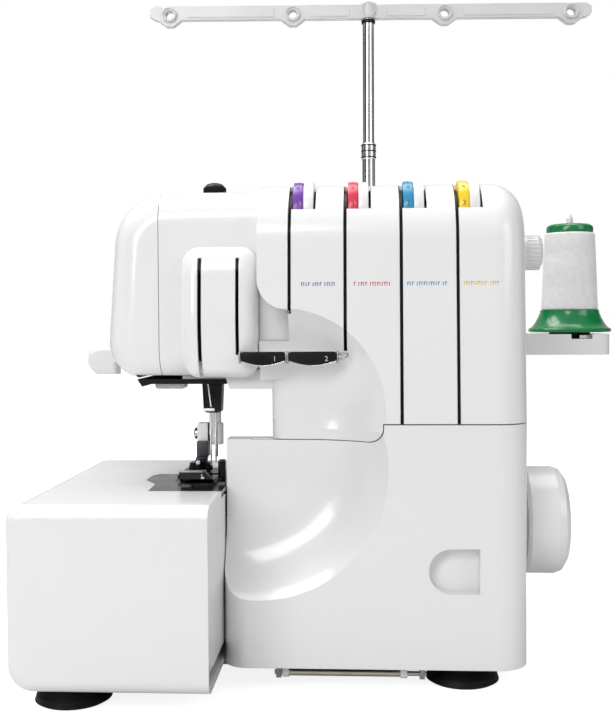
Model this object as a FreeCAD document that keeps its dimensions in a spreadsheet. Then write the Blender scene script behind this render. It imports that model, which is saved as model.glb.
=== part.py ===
import FreeCAD, Part
import math
import os
import Sketcher
from FreeCAD import Placement, Rotation, Vector

# Free-standing overlock sewing machine. Lengths in millimetres.
# X runs to the right of the person sewing, Y to the back, Z up from the table it stands on.

doc = FreeCAD.newDocument("overlock_machine")
sheet = doc.addObject("Spreadsheet::Sheet", "Sizes")
nodes = []
aliases = []


class Size:
    # A length that knows both its spreadsheet formula and its present value.
    def __init__(self, formula, value):
        self.formula = formula
        self.value = value

    def __add__(self, other):
        other = as_size(other)
        return Size(f"({self.formula} + {other.formula})", self.value + other.value)

    def __radd__(self, other):
        return as_size(other) + self

    def __sub__(self, other):
        other = as_size(other)
        return Size(f"({self.formula} - {other.formula})", self.value - other.value)

    def __rsub__(self, other):
        return as_size(other) - self

    def __mul__(self, factor):
        factor = as_size(factor)
        return Size(f"({self.formula} * {factor.formula})", self.value * factor.value)

    def __rmul__(self, factor):
        return self * factor

    def __truediv__(self, divisor):
        divisor = as_size(divisor)
        return Size(f"({self.formula} / {divisor.formula})", self.value / divisor.value)

    def __neg__(self):
        return Size(f"(0 - {self.formula})", -self.value)


def as_size(number):
    if isinstance(number, Size):
        return number
    return Size(f"({float(number)!r})", float(number))


def size(name, value):
    aliases.append(name)
    row = len(aliases)
    sheet.set(f"A{row}", name)
    sheet.set(f"B{row}", str(value))
    sheet.setAlias(f"B{row}", name)
    return Size(f"Sizes.{name}", float(value))


def bind(item, path, length):
    item.setExpression(path, as_size(length).formula)


def place(item, rotation, x, y, z):
    item.Placement = Placement(Vector(0, 0, 0), rotation)
    bind(item, "Placement.Base.x", x)
    bind(item, "Placement.Base.y", y)
    bind(item, "Placement.Base.z", z)


UPRIGHT = Rotation(Vector(0, 0, 1), 0)
TURNS = {"X": Rotation(Vector(0, 1, 0), 90), "Y": Rotation(Vector(1, 0, 0), -90), "Z": UPRIGHT}


def put_on_axis(item, axis, at, along):
    if axis == "X":
        place(item, TURNS[axis], along, at[0], at[1])
    elif axis == "Y":
        place(item, TURNS[axis], at[0], along, at[1])
    else:
        place(item, TURNS[axis], at[0], at[1], along)


def box(name, x, y, z):
    item = doc.addObject("Part::Box", name)
    bind(item, "Length", as_size(x[1]) - x[0])
    bind(item, "Width", as_size(y[1]) - y[0])
    bind(item, "Height", as_size(z[1]) - z[0])
    place(item, UPRIGHT, x[0], y[0], z[0])
    return item


def rod(name, axis, at, span, radius):
    item = doc.addObject("Part::Cylinder", name)
    bind(item, "Radius", radius)
    bind(item, "Height", as_size(span[1]) - span[0])
    put_on_axis(item, axis, at, span[0])
    return item


def fuse(name, parts):
    item = doc.addObject("Part::MultiFuse", name)
    item.Shapes = parts
    item.Refine = True
    return item


def cut(name, base, tools):
    item = doc.addObject("Part::Cut", name)
    item.Base = base
    item.Tool = tools[0] if len(tools) == 1 else fuse(name + "_tools", tools)
    item.Refine = True
    return item


def common(name, base, tool):
    item = doc.addObject("Part::Common", name)
    item.Base = base
    item.Tool = tool
    item.Refine = True
    return item


def group(name, parts):
    item = doc.addObject("Part::Compound", name)
    item.Links = parts
    return item


def origin_plane(body, role):
    for feature in body.Origin.OriginFeatures:
        if feature.Role == role:
            return feature


def hold(sketch, kind, index, length):
    # Ties one corner of an outline to the sketch origin, along one direction.
    if abs(length.value) < 1e-9:
        axis = -2 if kind == "DistanceX" else -1
        sketch.addConstraint(Sketcher.Constraint("PointOnObject", index, 1, axis))
        return
    row = sketch.addConstraint(Sketcher.Constraint(kind, -1, 1, index, 1, length.value))
    sketch.setExpression(f"Constraints[{row}]", length.formula)


def outline(body, name, role, points):
    sketch = body.newObject("Sketcher::SketchObject", name)
    sketch.AttachmentSupport = [(origin_plane(body, role), "")]
    sketch.MapMode = "FlatFace"
    corners = [(as_size(u), as_size(v)) for u, v in points]
    count = len(corners)
    for index in range(count):
        start = corners[index]
        end = corners[(index + 1) % count]
        line = Part.LineSegment(Vector(start[0].value, start[1].value, 0),
                                Vector(end[0].value, end[1].value, 0))
        sketch.addGeometry(line, False)
    for index in range(count):
        sketch.addConstraint(Sketcher.Constraint("Coincident", index, 2, (index + 1) % count, 1))
    for index in range(count):
        hold(sketch, "DistanceX", index, corners[index][0])
        hold(sketch, "DistanceY", index, corners[index][1])
    return sketch


def padded(name, plane, points, span):
    # A flat outline in one origin plane, given thickness along the plane's normal.
    body = doc.addObject("PartDesign::Body", name)
    sketch = outline(body, name + "_outline", plane + "_Plane", points)
    start = -as_size(span[1]) if plane == "XZ" else as_size(span[0])
    bind(sketch, "AttachmentOffset.Base.z", start)
    pad = body.newObject("PartDesign::Pad", name + "_pad")
    pad.Profile = sketch
    bind(pad, "Length", as_size(span[1]) - span[0])
    return body


def turned(name, axis, at, points):
    # A lathe-turned solid: points are (radius, distance along the axis).
    body = doc.addObject("PartDesign::Body", name)
    sketch = outline(body, name + "_outline", "XZ_Plane", points)
    spin = body.newObject("PartDesign::Revolution", name + "_turned")
    spin.Profile = sketch
    spin.ReferenceAxis = (sketch, ["V_Axis"])
    spin.Angle = 360
    put_on_axis(body, axis, at, 0)
    return body


def lies_at(low, high, where):
    return where is None or (abs(low - where) < 0.02 and abs(high - where) < 0.02)


def edges_at(shape, x=None, y=None, z=None, keep=None):
    names = []
    for index, edge in enumerate(shape.Edges, 1):
        limits = edge.BoundBox
        if not lies_at(limits.XMin, limits.XMax, x):
            continue
        if not lies_at(limits.YMin, limits.YMax, y):
            continue
        if not lies_at(limits.ZMin, limits.ZMax, z):
            continue
        if keep is None or keep(edge.CenterOfMass):
            names.append(f"Edge{index}")
    return names


def rounded(body, radius, picks):
    # Rounds the edges of a body that lie on the given planes.
    doc.recompute([sheet, body])
    tip = body.Tip
    names = []
    for pick in picks:
        for name in edges_at(tip.Shape, **pick):
            if name not in names:
                names.append(name)
    fillet = body.newObject("PartDesign::Fillet", body.Name + "_round")
    fillet.Base = (tip, names)
    bind(fillet, "Radius", radius)
    return body


def node(name, item):
    item.Label = name
    nodes.append(item)
    return item


# Main outside sizes

overall_width = size("overall_width", 378)
overall_depth = size("overall_depth", 275)
foot_height = size("foot_height", 13)
base_thickness = size("base_thickness", 3)
casing_wall = size("casing_wall", 3)
seam_gap = size("seam_gap", 0.6)
table_width = size("table_width", 111.1)
table_height = size("table_height", 102.5)
table_overhang = size("table_overhang", 50)
table_side_gap = size("table_side_gap", 0.4)
body_width = size("body_width", 177.5)
body_depth = size("body_depth", 145)
looper_cover_height = size("looper_cover_height", 141.5)
casing_height = size("casing_height", 283.5)
panel_lean = size("panel_lean", 12)

base_top = foot_height + base_thickness
table_left = -overall_width / 2
table_front = -overall_depth / 2
table_right = table_left + table_width
table_top = base_top + table_height
body_left = table_right + table_side_gap
body_right = body_left + body_width
body_front = table_front + table_overhang
body_rear = body_front + body_depth
seam_height = base_top + looper_cover_height
body_top = base_top + casing_height

# Feet and base plate

foot_radius = size("foot_radius", 22)
foot_neck_radius = size("foot_neck_radius", 16.5)
left_foot_inset = size("left_foot_inset", 26)
right_foot_inset = size("right_foot_inset", 36)
left_front_foot = size("left_front_foot_inset", 42.5)
right_front_foot = size("right_front_foot_inset", 34)
rear_foot_inset = size("rear_foot_inset", 24)

left_foot_x = table_left + left_foot_inset
right_foot_x = body_right - right_foot_inset
left_foot_y = table_front + left_front_foot
right_foot_y = body_front + right_front_foot
rear_foot_y = body_rear - rear_foot_inset

foot_profile = [
    (0, 0),
    (foot_radius - 2, 0),
    (foot_radius, 1.2),
    (foot_radius - 1, foot_height * 0.35),
    (foot_neck_radius + 1.2, foot_height * 0.7),
    (foot_neck_radius, foot_height),
    (0, foot_height),
]
feet = []
for foot_name, foot_x, foot_y in (
    ("front_left", left_foot_x, left_foot_y),
    ("rear_left", left_foot_x, rear_foot_y),
    ("front_right", right_foot_x, right_foot_y),
    ("rear_right", right_foot_x, rear_foot_y),
):
    feet.append(turned("foot_" + foot_name, "Z", (foot_x, foot_y), foot_profile))
node("rubber_feet", group("feet", feet))

hinge_rod_radius = size("hinge_rod_radius", 1.4)
hinge_rod_drop = size("hinge_rod_drop", 5.5)
hinge_rod_inset = size("hinge_rod_inset", 10.5)
hinge_rod_length = size("hinge_rod_length", 89)
hinge_rod_start = size("hinge_rod_start", 29.5)
running_gap = size("running_gap", 0.15)

rod_y = body_front + hinge_rod_inset
rod_z = base_top - hinge_rod_drop
rod_left = body_left + hinge_rod_start
rod_right = rod_left + hinge_rod_length

base_margin = size("base_margin", 5)
base_step = size("base_step", 15)
base_front_inset = size("base_front_inset", 26)
base_outline = padded("base_sheet", "XY", [
    (table_left + base_margin, table_front + base_front_inset),
    (table_right - 2, table_front + base_front_inset),
    (table_right - 2, body_front + base_step),
    (body_right - base_margin, body_front + base_step),
    (body_right - base_margin, body_rear - base_margin),
    (table_left + base_margin, body_rear - base_margin),
], (foot_height, base_top))
tab_width = size("rod_tab_width", 3)
tab_lap = size("rod_tab_lap", 2.6)
tab_left = box("rod_tab_left", (rod_left + 1, rod_left + 1 + tab_width),
               (rod_y - tab_lap, body_front + base_step + 1), (rod_z - tab_lap, base_top))
tab_right = box("rod_tab_right", (rod_right - 1 - tab_width, rod_right - 1),
                (rod_y - tab_lap, body_front + base_step + 1), (rod_z - tab_lap, base_top))
tab_bore = rod("rod_tab_bore", "X", (rod_y, rod_z), (rod_left - 1, rod_right + 1), hinge_rod_radius + 0.02)
node("base_plate",
     cut("base_with_tabs", fuse("base_blank", [base_outline, tab_left, tab_right]), [tab_bore]))
node("cover_hinge_rod", rod("hinge_rod", "X", (rod_y, rod_z), (rod_left, rod_right), hinge_rod_radius))

# Casing: tower, sewing head and lower body as one hollow form, parted along its seams below

scoop_floor = body_front + size("scoop_depth", 25)
shield_back = scoop_floor + size("shield_depth", 16)
tower_left = body_left + size("tower_setback", 20.5)
pillar_left = body_left + size("pillar_setback", 27)
bed_top = seam_height - size("bed_step", 11)
bed_low = bed_top - size("shield_height", 16)
head_left = body_left - size("head_reach", 76.5)
head_front = body_front + size("head_setback", 25.5)
head_depth = size("head_depth", 97)
head_rear = head_front + head_depth
head_bottom = base_top + size("head_clearance_height", 166)
head_top = body_top - size("head_top_drop", 3)
head_flare = size("head_flare", 8)
crown_radius = size("crown_radius", 38)
tower_back_radius = size("tower_back_radius", 20)
side_radius = size("side_radius", 19)
left_edge_radius = size("left_edge_radius", 14)
head_corner_radius = size("head_corner_radius", 34)
head_chin_radius = size("head_chin_radius", 23)
head_front_radius = size("head_front_radius", 20)
head_back_radius = size("head_back_radius", 12)


def tower_form(name, inset):
    left = tower_left + inset
    right = body_right - inset
    top = body_top - inset
    front = body_front + inset
    rear = body_rear - inset
    body = padded(name, "YZ", [
        (front, seam_height),
        (front + panel_lean, top),
        (rear, top),
        (rear, seam_height),
    ], (left, right))
    rounded(body, crown_radius - inset, [{"y": (front + panel_lean).value, "z": top.value}])
    rounded(body, tower_back_radius - inset, [{"y": rear.value, "z": top.value}])
    above = seam_height.value + 0.5
    rounded(body, side_radius - inset, [{"x": right.value, "keep": lambda mid: mid.z > above}])
    notch = box(name + "_throat", (left - 5, pillar_left + inset), (front - 5, rear + 5),
                (seam_height - 5, head_bottom + inset))
    return cut(name + "_notched", body, [notch])


def lower_form(name, inset, low):
    left = body_left + inset
    right = body_right - inset
    front = body_front + inset
    rear = body_rear - inset
    body = padded(name, "XY", [(left, front), (right, front), (right, rear), (left, rear)],
                  (low, seam_height))
    corners = [{"x": right.value, "y": front.value}, {"x": right.value, "y": rear.value}]
    rounded(body, side_radius - inset, corners)
    rounded(body, left_edge_radius - inset, [{"x": left.value, "y": front.value}])
    notch = box(name + "_throat", (left - 5, pillar_left + inset), (front - 5, rear + 5),
                (bed_top - inset, seam_height + 5))
    step = box(name + "_step", (left - 5, pillar_left + inset), (shield_back - inset, rear + 5),
               (bed_low - inset, seam_height + 5))
    return cut(name + "_notched", body, [notch, step])


def head_form(name, inset, right):
    left = head_left + inset
    low = head_bottom + inset
    top = head_top - inset
    front = head_front + inset
    rear = head_rear - inset
    body = padded(name, "XZ", [(right, low), (left, low), (left + head_flare, top), (right, top)],
                  (front, rear))
    rounded(body, head_corner_radius - inset, [{"x": None, "z": top.value,
            "keep": lambda mid: mid.x < left.value + head_flare.value + 0.5}])
    rounded(body, head_chin_radius - inset, [{"x": left.value, "z": low.value}])
    limit = right.value - 0.5
    rounded(body, head_front_radius - inset, [{"y": front.value, "keep": lambda mid: mid.x < limit}])
    rounded(body, head_back_radius - inset, [{"y": rear.value, "keep": lambda mid: mid.x < limit}])
    return body


scoop_curve = size("scoop_curve_radius", 60)
upper_scoop_flat = size("upper_scoop_flat_radius", 11.8)
lower_scoop_flat = size("lower_scoop_flat_radius", 27.3)
upper_scoop_x = body_left + size("upper_scoop_offset", 35)
lower_scoop_x = body_left + size("lower_scoop_offset", 20.5)
upper_scoop_z = seam_height + size("upper_scoop_rise", 11)
lower_scoop_z = seam_height - size("lower_scoop_drop", 26)


def scoop(name, x, z, flat_radius, inset):
    # The rounded dish pressed into the covers around the sewing area.
    radius = flat_radius + scoop_curve + inset
    floor = scoop_floor + inset
    start = body_front - scoop_curve
    body = turned(name, "Y", (x, z), [(0, start), (radius, start), (radius, floor), (0, floor)])
    return rounded(body, scoop_curve + inset, [{"z": floor.value}])


def scoops(name, inset):
    return [
        scoop(name + "_upper", upper_scoop_x, upper_scoop_z, upper_scoop_flat, inset),
        scoop(name + "_lower", lower_scoop_x, lower_scoop_z, lower_scoop_flat, inset),
    ]


def pillar_corner(name, inset):
    # The waste outside the rounded front edge of the pillar between bed and head.
    left = pillar_left + inset
    front = scoop_floor + inset
    radius = pillar_radius - inset
    block = box(name + "_block", (left - 1, left + radius), (front - 1, front + radius),
                (bed_top, head_bottom))
    core = rod(name + "_core", "Z", (left + radius, front + radius), (bed_top - 1, head_bottom + 1), radius)
    return cut(name, block, [core])


def panel_corner(name, inset):
    # The waste outside the rounded lower left corner of the tower's front panel.
    block = box(name + "_block", (tower_left - 5, panel_corner_x),
                (body_front - scoop_curve, scoop_floor + inset), (panel_corner_low, panel_corner_z))
    core = rod(name + "_core", "Y", (panel_corner_x, panel_corner_z),
               (body_front - scoop_curve - 1, scoop_floor + inset + 1), panel_corner_radius - inset)
    return cut(name, block, [core])


pillar_radius = size("pillar_radius", 9)
panel_corner_radius = size("panel_corner_radius", 18)
panel_corner_x = tower_left + panel_corner_radius
panel_corner_z = seam_height + size("panel_corner_height", 84)
panel_corner_low = panel_corner_z - 2 * panel_corner_radius
outer_scoops = scoops("dish_front", as_size(0))
outer_scoops.append(pillar_corner("pillar_edge", as_size(0)))
outer_scoops.append(panel_corner("panel_edge", as_size(0)))
inner_scoops = scoops("dish_back", casing_wall)
inner_scoops.append(pillar_corner("pillar_edge_back", casing_wall))
inner_scoops.append(panel_corner("panel_edge_back", casing_wall))
free_arm_mouth = box("free_arm_mouth", (body_left - 5, body_left + 10),
                     (scoop_floor + casing_wall, body_rear - 8),
                     (base_top - 5, table_top - 2))
lower_outside = cut("lower_outside", lower_form("lower_body", as_size(0), base_top), outer_scoops)
lower_inside = cut("lower_inside", fuse("lower_space", [
    lower_form("lower_room", casing_wall, base_top - 5),
    free_arm_mouth,
]), inner_scoops)
lower_casing = cut("lower_casing", lower_outside, [lower_inside])
shelf_reach = size("guide_shelf_reach", 14.5)
shelf_low = head_bottom + size("guide_shelf_rise", 12)
shelf_high = shelf_low + size("guide_shelf_height", 4)
shelf_right = tower_left + size("guide_shelf_length", 49)
guide_shelf = box("guide_shelf", (tower_left + 0.5, shelf_right),
                  (scoop_floor - shelf_reach, scoop_floor + 1),
                  (shelf_low, shelf_high))
upper_outside = fuse("upper_outside", [
    tower_form("tower", as_size(0)),
    head_form("head", as_size(0), tower_left + 12),
])
chin_left = tower_left - size("chin_reach", 21)
chin_low = head_bottom - size("chin_drop", 5.7)
chin_taper = size("chin_taper", 2)
chin_front = head_front + size("chin_setback", 4)
chin_depth = size("chin_depth", 44)
chin = padded("head_chin", "XZ", [
    (chin_left, head_bottom + 2 * casing_wall),
    (chin_left, head_bottom),
    (chin_left + chin_taper, chin_low),
    (pillar_left + pillar_radius, chin_low),
    (pillar_left + pillar_radius, head_bottom + 2 * casing_wall),
], (chin_front, chin_front + chin_depth))
upper_dished = fuse("upper_dished", [
    cut("upper_scooped", upper_outside, outer_scoops),
    guide_shelf,
    chin,
])
upper_inside = cut("upper_inside", fuse("upper_space", [
    tower_form("tower_room", casing_wall),
    head_form("head_room", casing_wall, tower_left + 12),
]), inner_scoops)
upper_casing = cut("upper_casing", upper_dished, [upper_inside])

# Seams that part the casing into its covers

cover_back = body_front + size("cover_wrap", 21.5)
scoop_back = scoop_floor + casing_wall + 1.5
scoop_zone_right = lower_scoop_x + lower_scoop_flat + 35
cap_seam = body_left - size("face_cover_seam", 40.5)
back_seam = body_front + size("back_seam", 82)
tongue_right = upper_scoop_x + size("tongue_reach", 58.5)
tongue_gap = size("tongue_gap", 0.45)
half_gap = seam_gap / 2
face_gap = size("face_seam_gap", 0.3) / 2
beyond = size("tool_overrun", 12)


def cover_zone(name, grow):
    front = box(name + "_front", (body_left - beyond, body_right + beyond),
                (body_front - beyond, cover_back + grow),
                (base_top - beyond, seam_height - half_gap + grow))
    dish = box(name + "_dish", (body_left - beyond, scoop_zone_right + grow),
               (body_front - beyond, scoop_back + grow),
               (base_top - beyond, seam_height - half_gap + grow))
    return fuse(name, [front, dish])


def tongue(name, grow):
    body = padded(name, "XZ", [
        (pillar_left - beyond, bed_top - grow),
        (tongue_right + grow, bed_top - grow),
        (tongue_right + grow, seam_height + 2),
        (pillar_left - beyond, seam_height + 2),
    ], (body_front - beyond, scoop_back + grow))
    return rounded(body, size(name + "_radius", 9),
                   [{"x": (tongue_right + grow).value, "z": (bed_top - grow).value}])


# Looper cover: hinged front cover with a finger recess

grip_x = body_left + size("grip_offset", 132.5)
grip_z = base_top + size("grip_height", 57)
grip_radius = size("grip_radius", 13)
grip_length = size("grip_length", 16)
grip_depth = size("grip_depth", 9)
grip_wall = size("grip_wall", 2)


def grip_form(name, grow, y_span):
    round_end = rod(name + "_round", "Y", (grip_x, grip_z), y_span, grip_radius + grow)
    flat_end = box(name + "_flat", (grip_x, grip_x + grip_length + grow), y_span,
                   (grip_z - grip_radius - grow, grip_z + grip_radius + grow))
    return fuse(name, [round_end, flat_end])


lug_radius = size("hinge_lug_radius", 2.7)
lug_width = size("hinge_lug_width", 4)
lug_left = rod_left + size("lug_start", 4.6)
lug_right = rod_right - size("lug_end", 15.2)
lugs = []
for side, lug_x in (("left", lug_left), ("right", lug_right)):
    span = (lug_x, lug_x + lug_width)
    lugs.append(rod("hinge_eye_" + side, "X", (rod_y, rod_z), span, lug_radius))
    lugs.append(box("hinge_neck_" + side, span, (rod_y - lug_radius, rod_y + 1), (rod_z, base_top + 6)))
    lugs.append(box("hinge_root_" + side, span, (body_front + 1, rod_y + 1), (base_top + 1, base_top + 6)))
lug_bore = rod("hinge_lug_bore", "X", (rod_y, rod_z), (rod_left, rod_right), hinge_rod_radius + running_gap)
cover_sheet = cut("looper_cover_sheet",
                  common("looper_cover_zone_part", lower_casing, cover_zone("cover_zone", as_size(0))),
                  [tongue("tongue_clear", tongue_gap)])
cover_blank = fuse("looper_cover_blank", [
    cover_sheet,
    grip_form("grip_tub", grip_wall, (body_front + 1, body_front + grip_depth + grip_wall)),
] + lugs)
node("looper_cover", cut("looper_cover_body", cover_blank, [
    grip_form("grip_hollow", as_size(0), (body_front - beyond, body_front + grip_depth)),
    lug_bore,
]))
bush_gap = size("slide_bush_gap", 0.2)
bush_start = lug_left + lug_width + bush_gap
bush_end = lug_right - bush_gap
bush_wall = size("slide_bush_wall", 0.6)
bush_outer = rod("slide_bush_outer", "X", (rod_y, rod_z), (bush_start, bush_end),
                 hinge_rod_radius + bush_wall)
bush_inner = rod("slide_bush_inner", "X", (rod_y, rod_z), (bush_start - 1, bush_end + 1),
                 hinge_rod_radius + running_gap)
node("cover_slide_bush", cut("slide_bush", bush_outer, [bush_inner]))

# Handwheel axis and the openings in the right side wall

shaft_y = body_front + size("shaft_setback", 67.5)
shaft_z = base_top + size("shaft_height", 75)
shaft_radius = size("shaft_radius", 6)
shaft_hole_radius = size("shaft_hole_radius", 10)
knob_y = body_front + size("length_knob_setback", 60.5)
knob_z = body_top - size("length_knob_drop", 40.5)
knob_stem_radius = size("length_knob_stem_radius", 4)
panel_y = body_rear - size("socket_panel_inset", 34)
inlet_z = base_top + size("inlet_height", 22)
inlet_width = size("inlet_width", 27)
inlet_height = size("inlet_face_height", 20)
inlet_depth = size("inlet_depth", 24)
switch_z = inlet_z + size("switch_above_inlet", 26)
switch_width = size("switch_width", 22)
switch_height = size("switch_height", 14)
switch_depth = size("switch_depth", 15)


def side_window(name, z, width, height, grow):
    return box(name, (body_right - beyond, body_right + beyond),
               (panel_y - width / 2 - grow, panel_y + width / 2 + grow),
               (z - height / 2 - grow, z + height / 2 + grow))


top_trim = box("lower_housing_trim", (body_left - beyond, body_right + beyond),
               (body_front - beyond, body_rear + beyond),
               (seam_height - half_gap, seam_height + beyond))
node("lower_housing", cut("lower_housing_body", lower_casing, [
    top_trim,
    cover_zone("cover_zone_clear", seam_gap),
    rod("shaft_hole", "X", (shaft_y, shaft_z), (body_right - beyond, body_right + beyond),
        shaft_hole_radius),
    side_window("inlet_window", inlet_z, inlet_width, inlet_height, as_size(0.2)),
    side_window("switch_window", switch_z, switch_width, switch_height, as_size(0.4)),
]))

# Upper covers with thread slots, dial windows and the opening under the head

slot_width = size("slot_width", 1.9)
slot_pitch = size("slot_pitch", 32.4)
first_slot = tower_left + size("first_slot_offset", 19)
slot_run_back = size("slot_run_back", 38)
first_slot_length = size("first_slot_length", 78.2)
second_slot_length = size("second_slot_length", 100)
dial_radius = size("dial_radius", 19)
dial_width = size("dial_width", 12)
dial_offset = size("dial_offset", 1.7)
dial_side_gap = size("dial_side_gap", 1.4)
dial_gap = size("dial_gap", 0.4)
dial_y = body_front + size("dial_setback", 35.3)
dial_z = body_top - size("dial_drop", 18.1)
dial_mouth_rise = size("dial_mouth_rise", 1)
dial_mouth_back = size("dial_mouth_back", 12)

slot_xs = [first_slot + slot_pitch * index for index in range(4)]
slot_ends = [body_top - first_slot_length, body_top - second_slot_length, seam_height - 5, seam_height - 5]
front_tools = []
for index in range(4):
    x = slot_xs[index]
    front_tools.append(box(f"slot_{index + 1}", (x - slot_width / 2, x + slot_width / 2),
                           (body_front - beyond, body_front + slot_run_back),
                           (slot_ends[index], body_top + beyond)))
    front_tools.append(rod(f"dial_window_{index + 1}", "X", (dial_y, dial_z),
                           (x, x + dial_offset + dial_width + dial_side_gap), dial_radius + dial_gap))
    front_tools.append(box(f"dial_mouth_{index + 1}", (x, x + dial_offset + dial_width + dial_side_gap),
                           (body_front - beyond, dial_y + dial_mouth_back),
                           (dial_z + dial_mouth_rise, body_top + beyond)))

needle_x = body_left - size("needle_offset", 11)
needle_y = body_front + size("needle_setback", 46)
presser_x = body_left - size("presser_offset", 12)
presser_y = body_front + size("presser_setback", 67.5)
under_left = head_left + size("under_plate_inset", 20)
under_right = tower_left - size("under_plate_end", 21.7)
under_front = head_front + size("under_plate_setback", 11)
under_rear = head_rear - size("under_plate_back", 15)
under_gap = size("under_plate_gap", 0.5)
mouth_rise = casing_wall + size("mouth_rise", 8)
under_thickness = size("under_plate_thickness", 3)
head_mouth = box("head_mouth", (under_left - under_gap, under_right + under_gap),
                 (under_front - under_gap, under_rear + under_gap),
                 (head_bottom - beyond, head_bottom + mouth_rise))

bulge_left = tower_left - size("bulge_width", 46)
bulge_right = tower_left - 0.5
bulge_low = head_bottom + size("bulge_rise", 1.5)
bulge_high = bulge_low + size("bulge_height", 78)
bulge_front = head_front - size("bulge_depth", 16)
bulge_wall = size("bulge_wall", 2.5)
mouth_inset = size("take_up_mouth_inset", 8)
take_up_mouth = box("take_up_mouth", (bulge_left + mouth_inset, bulge_right - mouth_inset),
                    (head_front - 5, head_front + casing_wall + 4),
                    (bulge_low + 10, bulge_high - 14))
knob_hole = rod("pressure_knob_hole", "Z", (presser_x, presser_y), (head_top - beyond, head_top + beyond),
                4.4)
length_knob_hole = rod("length_knob_hole", "X", (knob_y, knob_z), (body_right - beyond, body_right + beyond),
                       knob_stem_radius + 0.3)
front_box = box("upper_front_box", (cap_seam + face_gap, body_right + beyond),
                (body_front - beyond, back_seam - half_gap),
                (seam_height + half_gap, body_top + beyond))
tongue_top = box("tongue_top", (pillar_left - beyond, tongue_right), (body_front - beyond, scoop_back),
                 (seam_height - 1, seam_height + half_gap + 1))
front_blank = fuse("front_casing", [
    common("front_shell", upper_casing, front_box),
    common("tongue_shell", lower_casing, tongue("tongue_form", as_size(0))),
    common("tongue_root", upper_casing, tongue_top),
])
node("front_cover", cut("front_cover_body", front_blank,
                        front_tools + [head_mouth, take_up_mouth, knob_hole, length_knob_hole]))

lever_x = head_left + size("lever_pivot_inset", 30)
lever_z = head_bottom + size("lever_pivot_height", 11.5)
lever_pin_radius = size("lever_pin_radius", 3)
tray_low = base_top + size("tray_height", 177)
tray_high = tray_low + size("tray_thickness", 14.5)
tray_wall = size("tray_wall", 2.5)
tray_gap = size("tray_gap", 0.5)
tray_front = body_rear + tray_gap
screw_radius = size("screw_radius", 2)
screw_head_radius = size("screw_head_radius", 3.6)
screw_head_height = size("screw_head_height", 2.2)
screw_length = size("screw_length", 9)
screw_clear = size("screw_clearance", 0.12)
screw_inset = size("screw_inset", 22)
screw_left_x = pillar_left + screw_inset
screw_right_x = body_right - screw_inset
rear_screws = [
    (screw_left_x, body_top - 34),
    (screw_right_x, body_top - 34),
    (screw_left_x, seam_height + 16),
    (screw_right_x, seam_height + 16),
]
tray_screw_z = tray_low + 3.6
tray_screws = [(screw_left_x, tray_screw_z), (screw_right_x, tray_screw_z)]
screw_bores = []
screws = []
for index, (x, z) in enumerate(rear_screws + tray_screws):
    seat = body_rear if index < 4 else tray_front + tray_wall
    bore = rod(f"screw_bore_{index}", "Y", (x, z), (body_rear - beyond, body_rear + beyond),
               screw_radius + screw_clear)
    screw_bores.append(bore)
    profile = [
        (0, seat - screw_length),
        (screw_radius, seat - screw_length),
        (screw_radius, seat),
        (screw_head_radius, seat),
        (screw_head_radius, seat + screw_head_height * 0.55),
        (screw_head_radius * 0.7, seat + screw_head_height),
        (0, seat + screw_head_height),
    ]
    screws.append(turned(f"cover_screw_{index}", "Y", (x, z), profile))

upper_rear = box("upper_rear_box", (cap_seam + face_gap, body_right + beyond),
                 (back_seam + half_gap, body_rear + beyond),
                 (seam_height + half_gap, body_top + beyond))
node("rear_cover", cut("rear_cover_body", common("rear_casing", upper_casing, upper_rear), [
    box("head_mouth_rear", (under_left - under_gap, under_right + under_gap),
        (under_front, under_rear + under_gap),
        (head_bottom - beyond, head_bottom + mouth_rise)),
] + screw_bores))

face_zone = box("face_zone", (head_left - beyond, cap_seam - face_gap),
                (head_front - beyond, head_rear + beyond),
                (head_bottom - beyond, head_top + beyond))
lever_hole = rod("lever_hole", "Y", (lever_x, lever_z), (head_rear - beyond, head_rear + beyond),
                 lever_pin_radius + 0.3)
head_mouth_face = box("head_mouth_face", (under_left - under_gap, under_right), (under_front - under_gap,
                      under_rear + under_gap), (head_bottom - beyond, head_bottom + mouth_rise))
node("face_cover",
     cut("face_cover_body", common("face_casing", upper_casing, face_zone), [lever_hole, head_mouth_face]))

# Take-up cover: bulge on the head with a slot on each side of its centre strip


def bulge_form(name, inset, rear):
    left = bulge_left + inset
    right = bulge_right - inset
    low = bulge_low + inset
    high = bulge_high - inset
    front = bulge_front + inset
    bends = [
        (front + low_tuck, low, bulge_tuck_radius - inset),
        (front + bulge_bow, low + low_tuck_height, bulge_bend_radius),
        (front, bulge_middle, bulge_face_radius),
        (front + bulge_bow, high - high_tuck_height, bulge_bend_radius),
        (front + high_tuck, high, bulge_tuck_radius - inset),
    ]
    body = padded(name, "YZ", [(rear, low)] + [bend[:2] for bend in bends] + [(rear, high)], (left, right))
    for y, z, radius in bends:
        rounded(body, radius, [{"y": y.value, "z": z.value}])
    limit = rear.value - 0.3
    return rounded(body, bulge_edge - inset, [{"x": side.value, "keep": lambda mid: mid.y < limit}
                                              for side in (left, right)])


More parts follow.
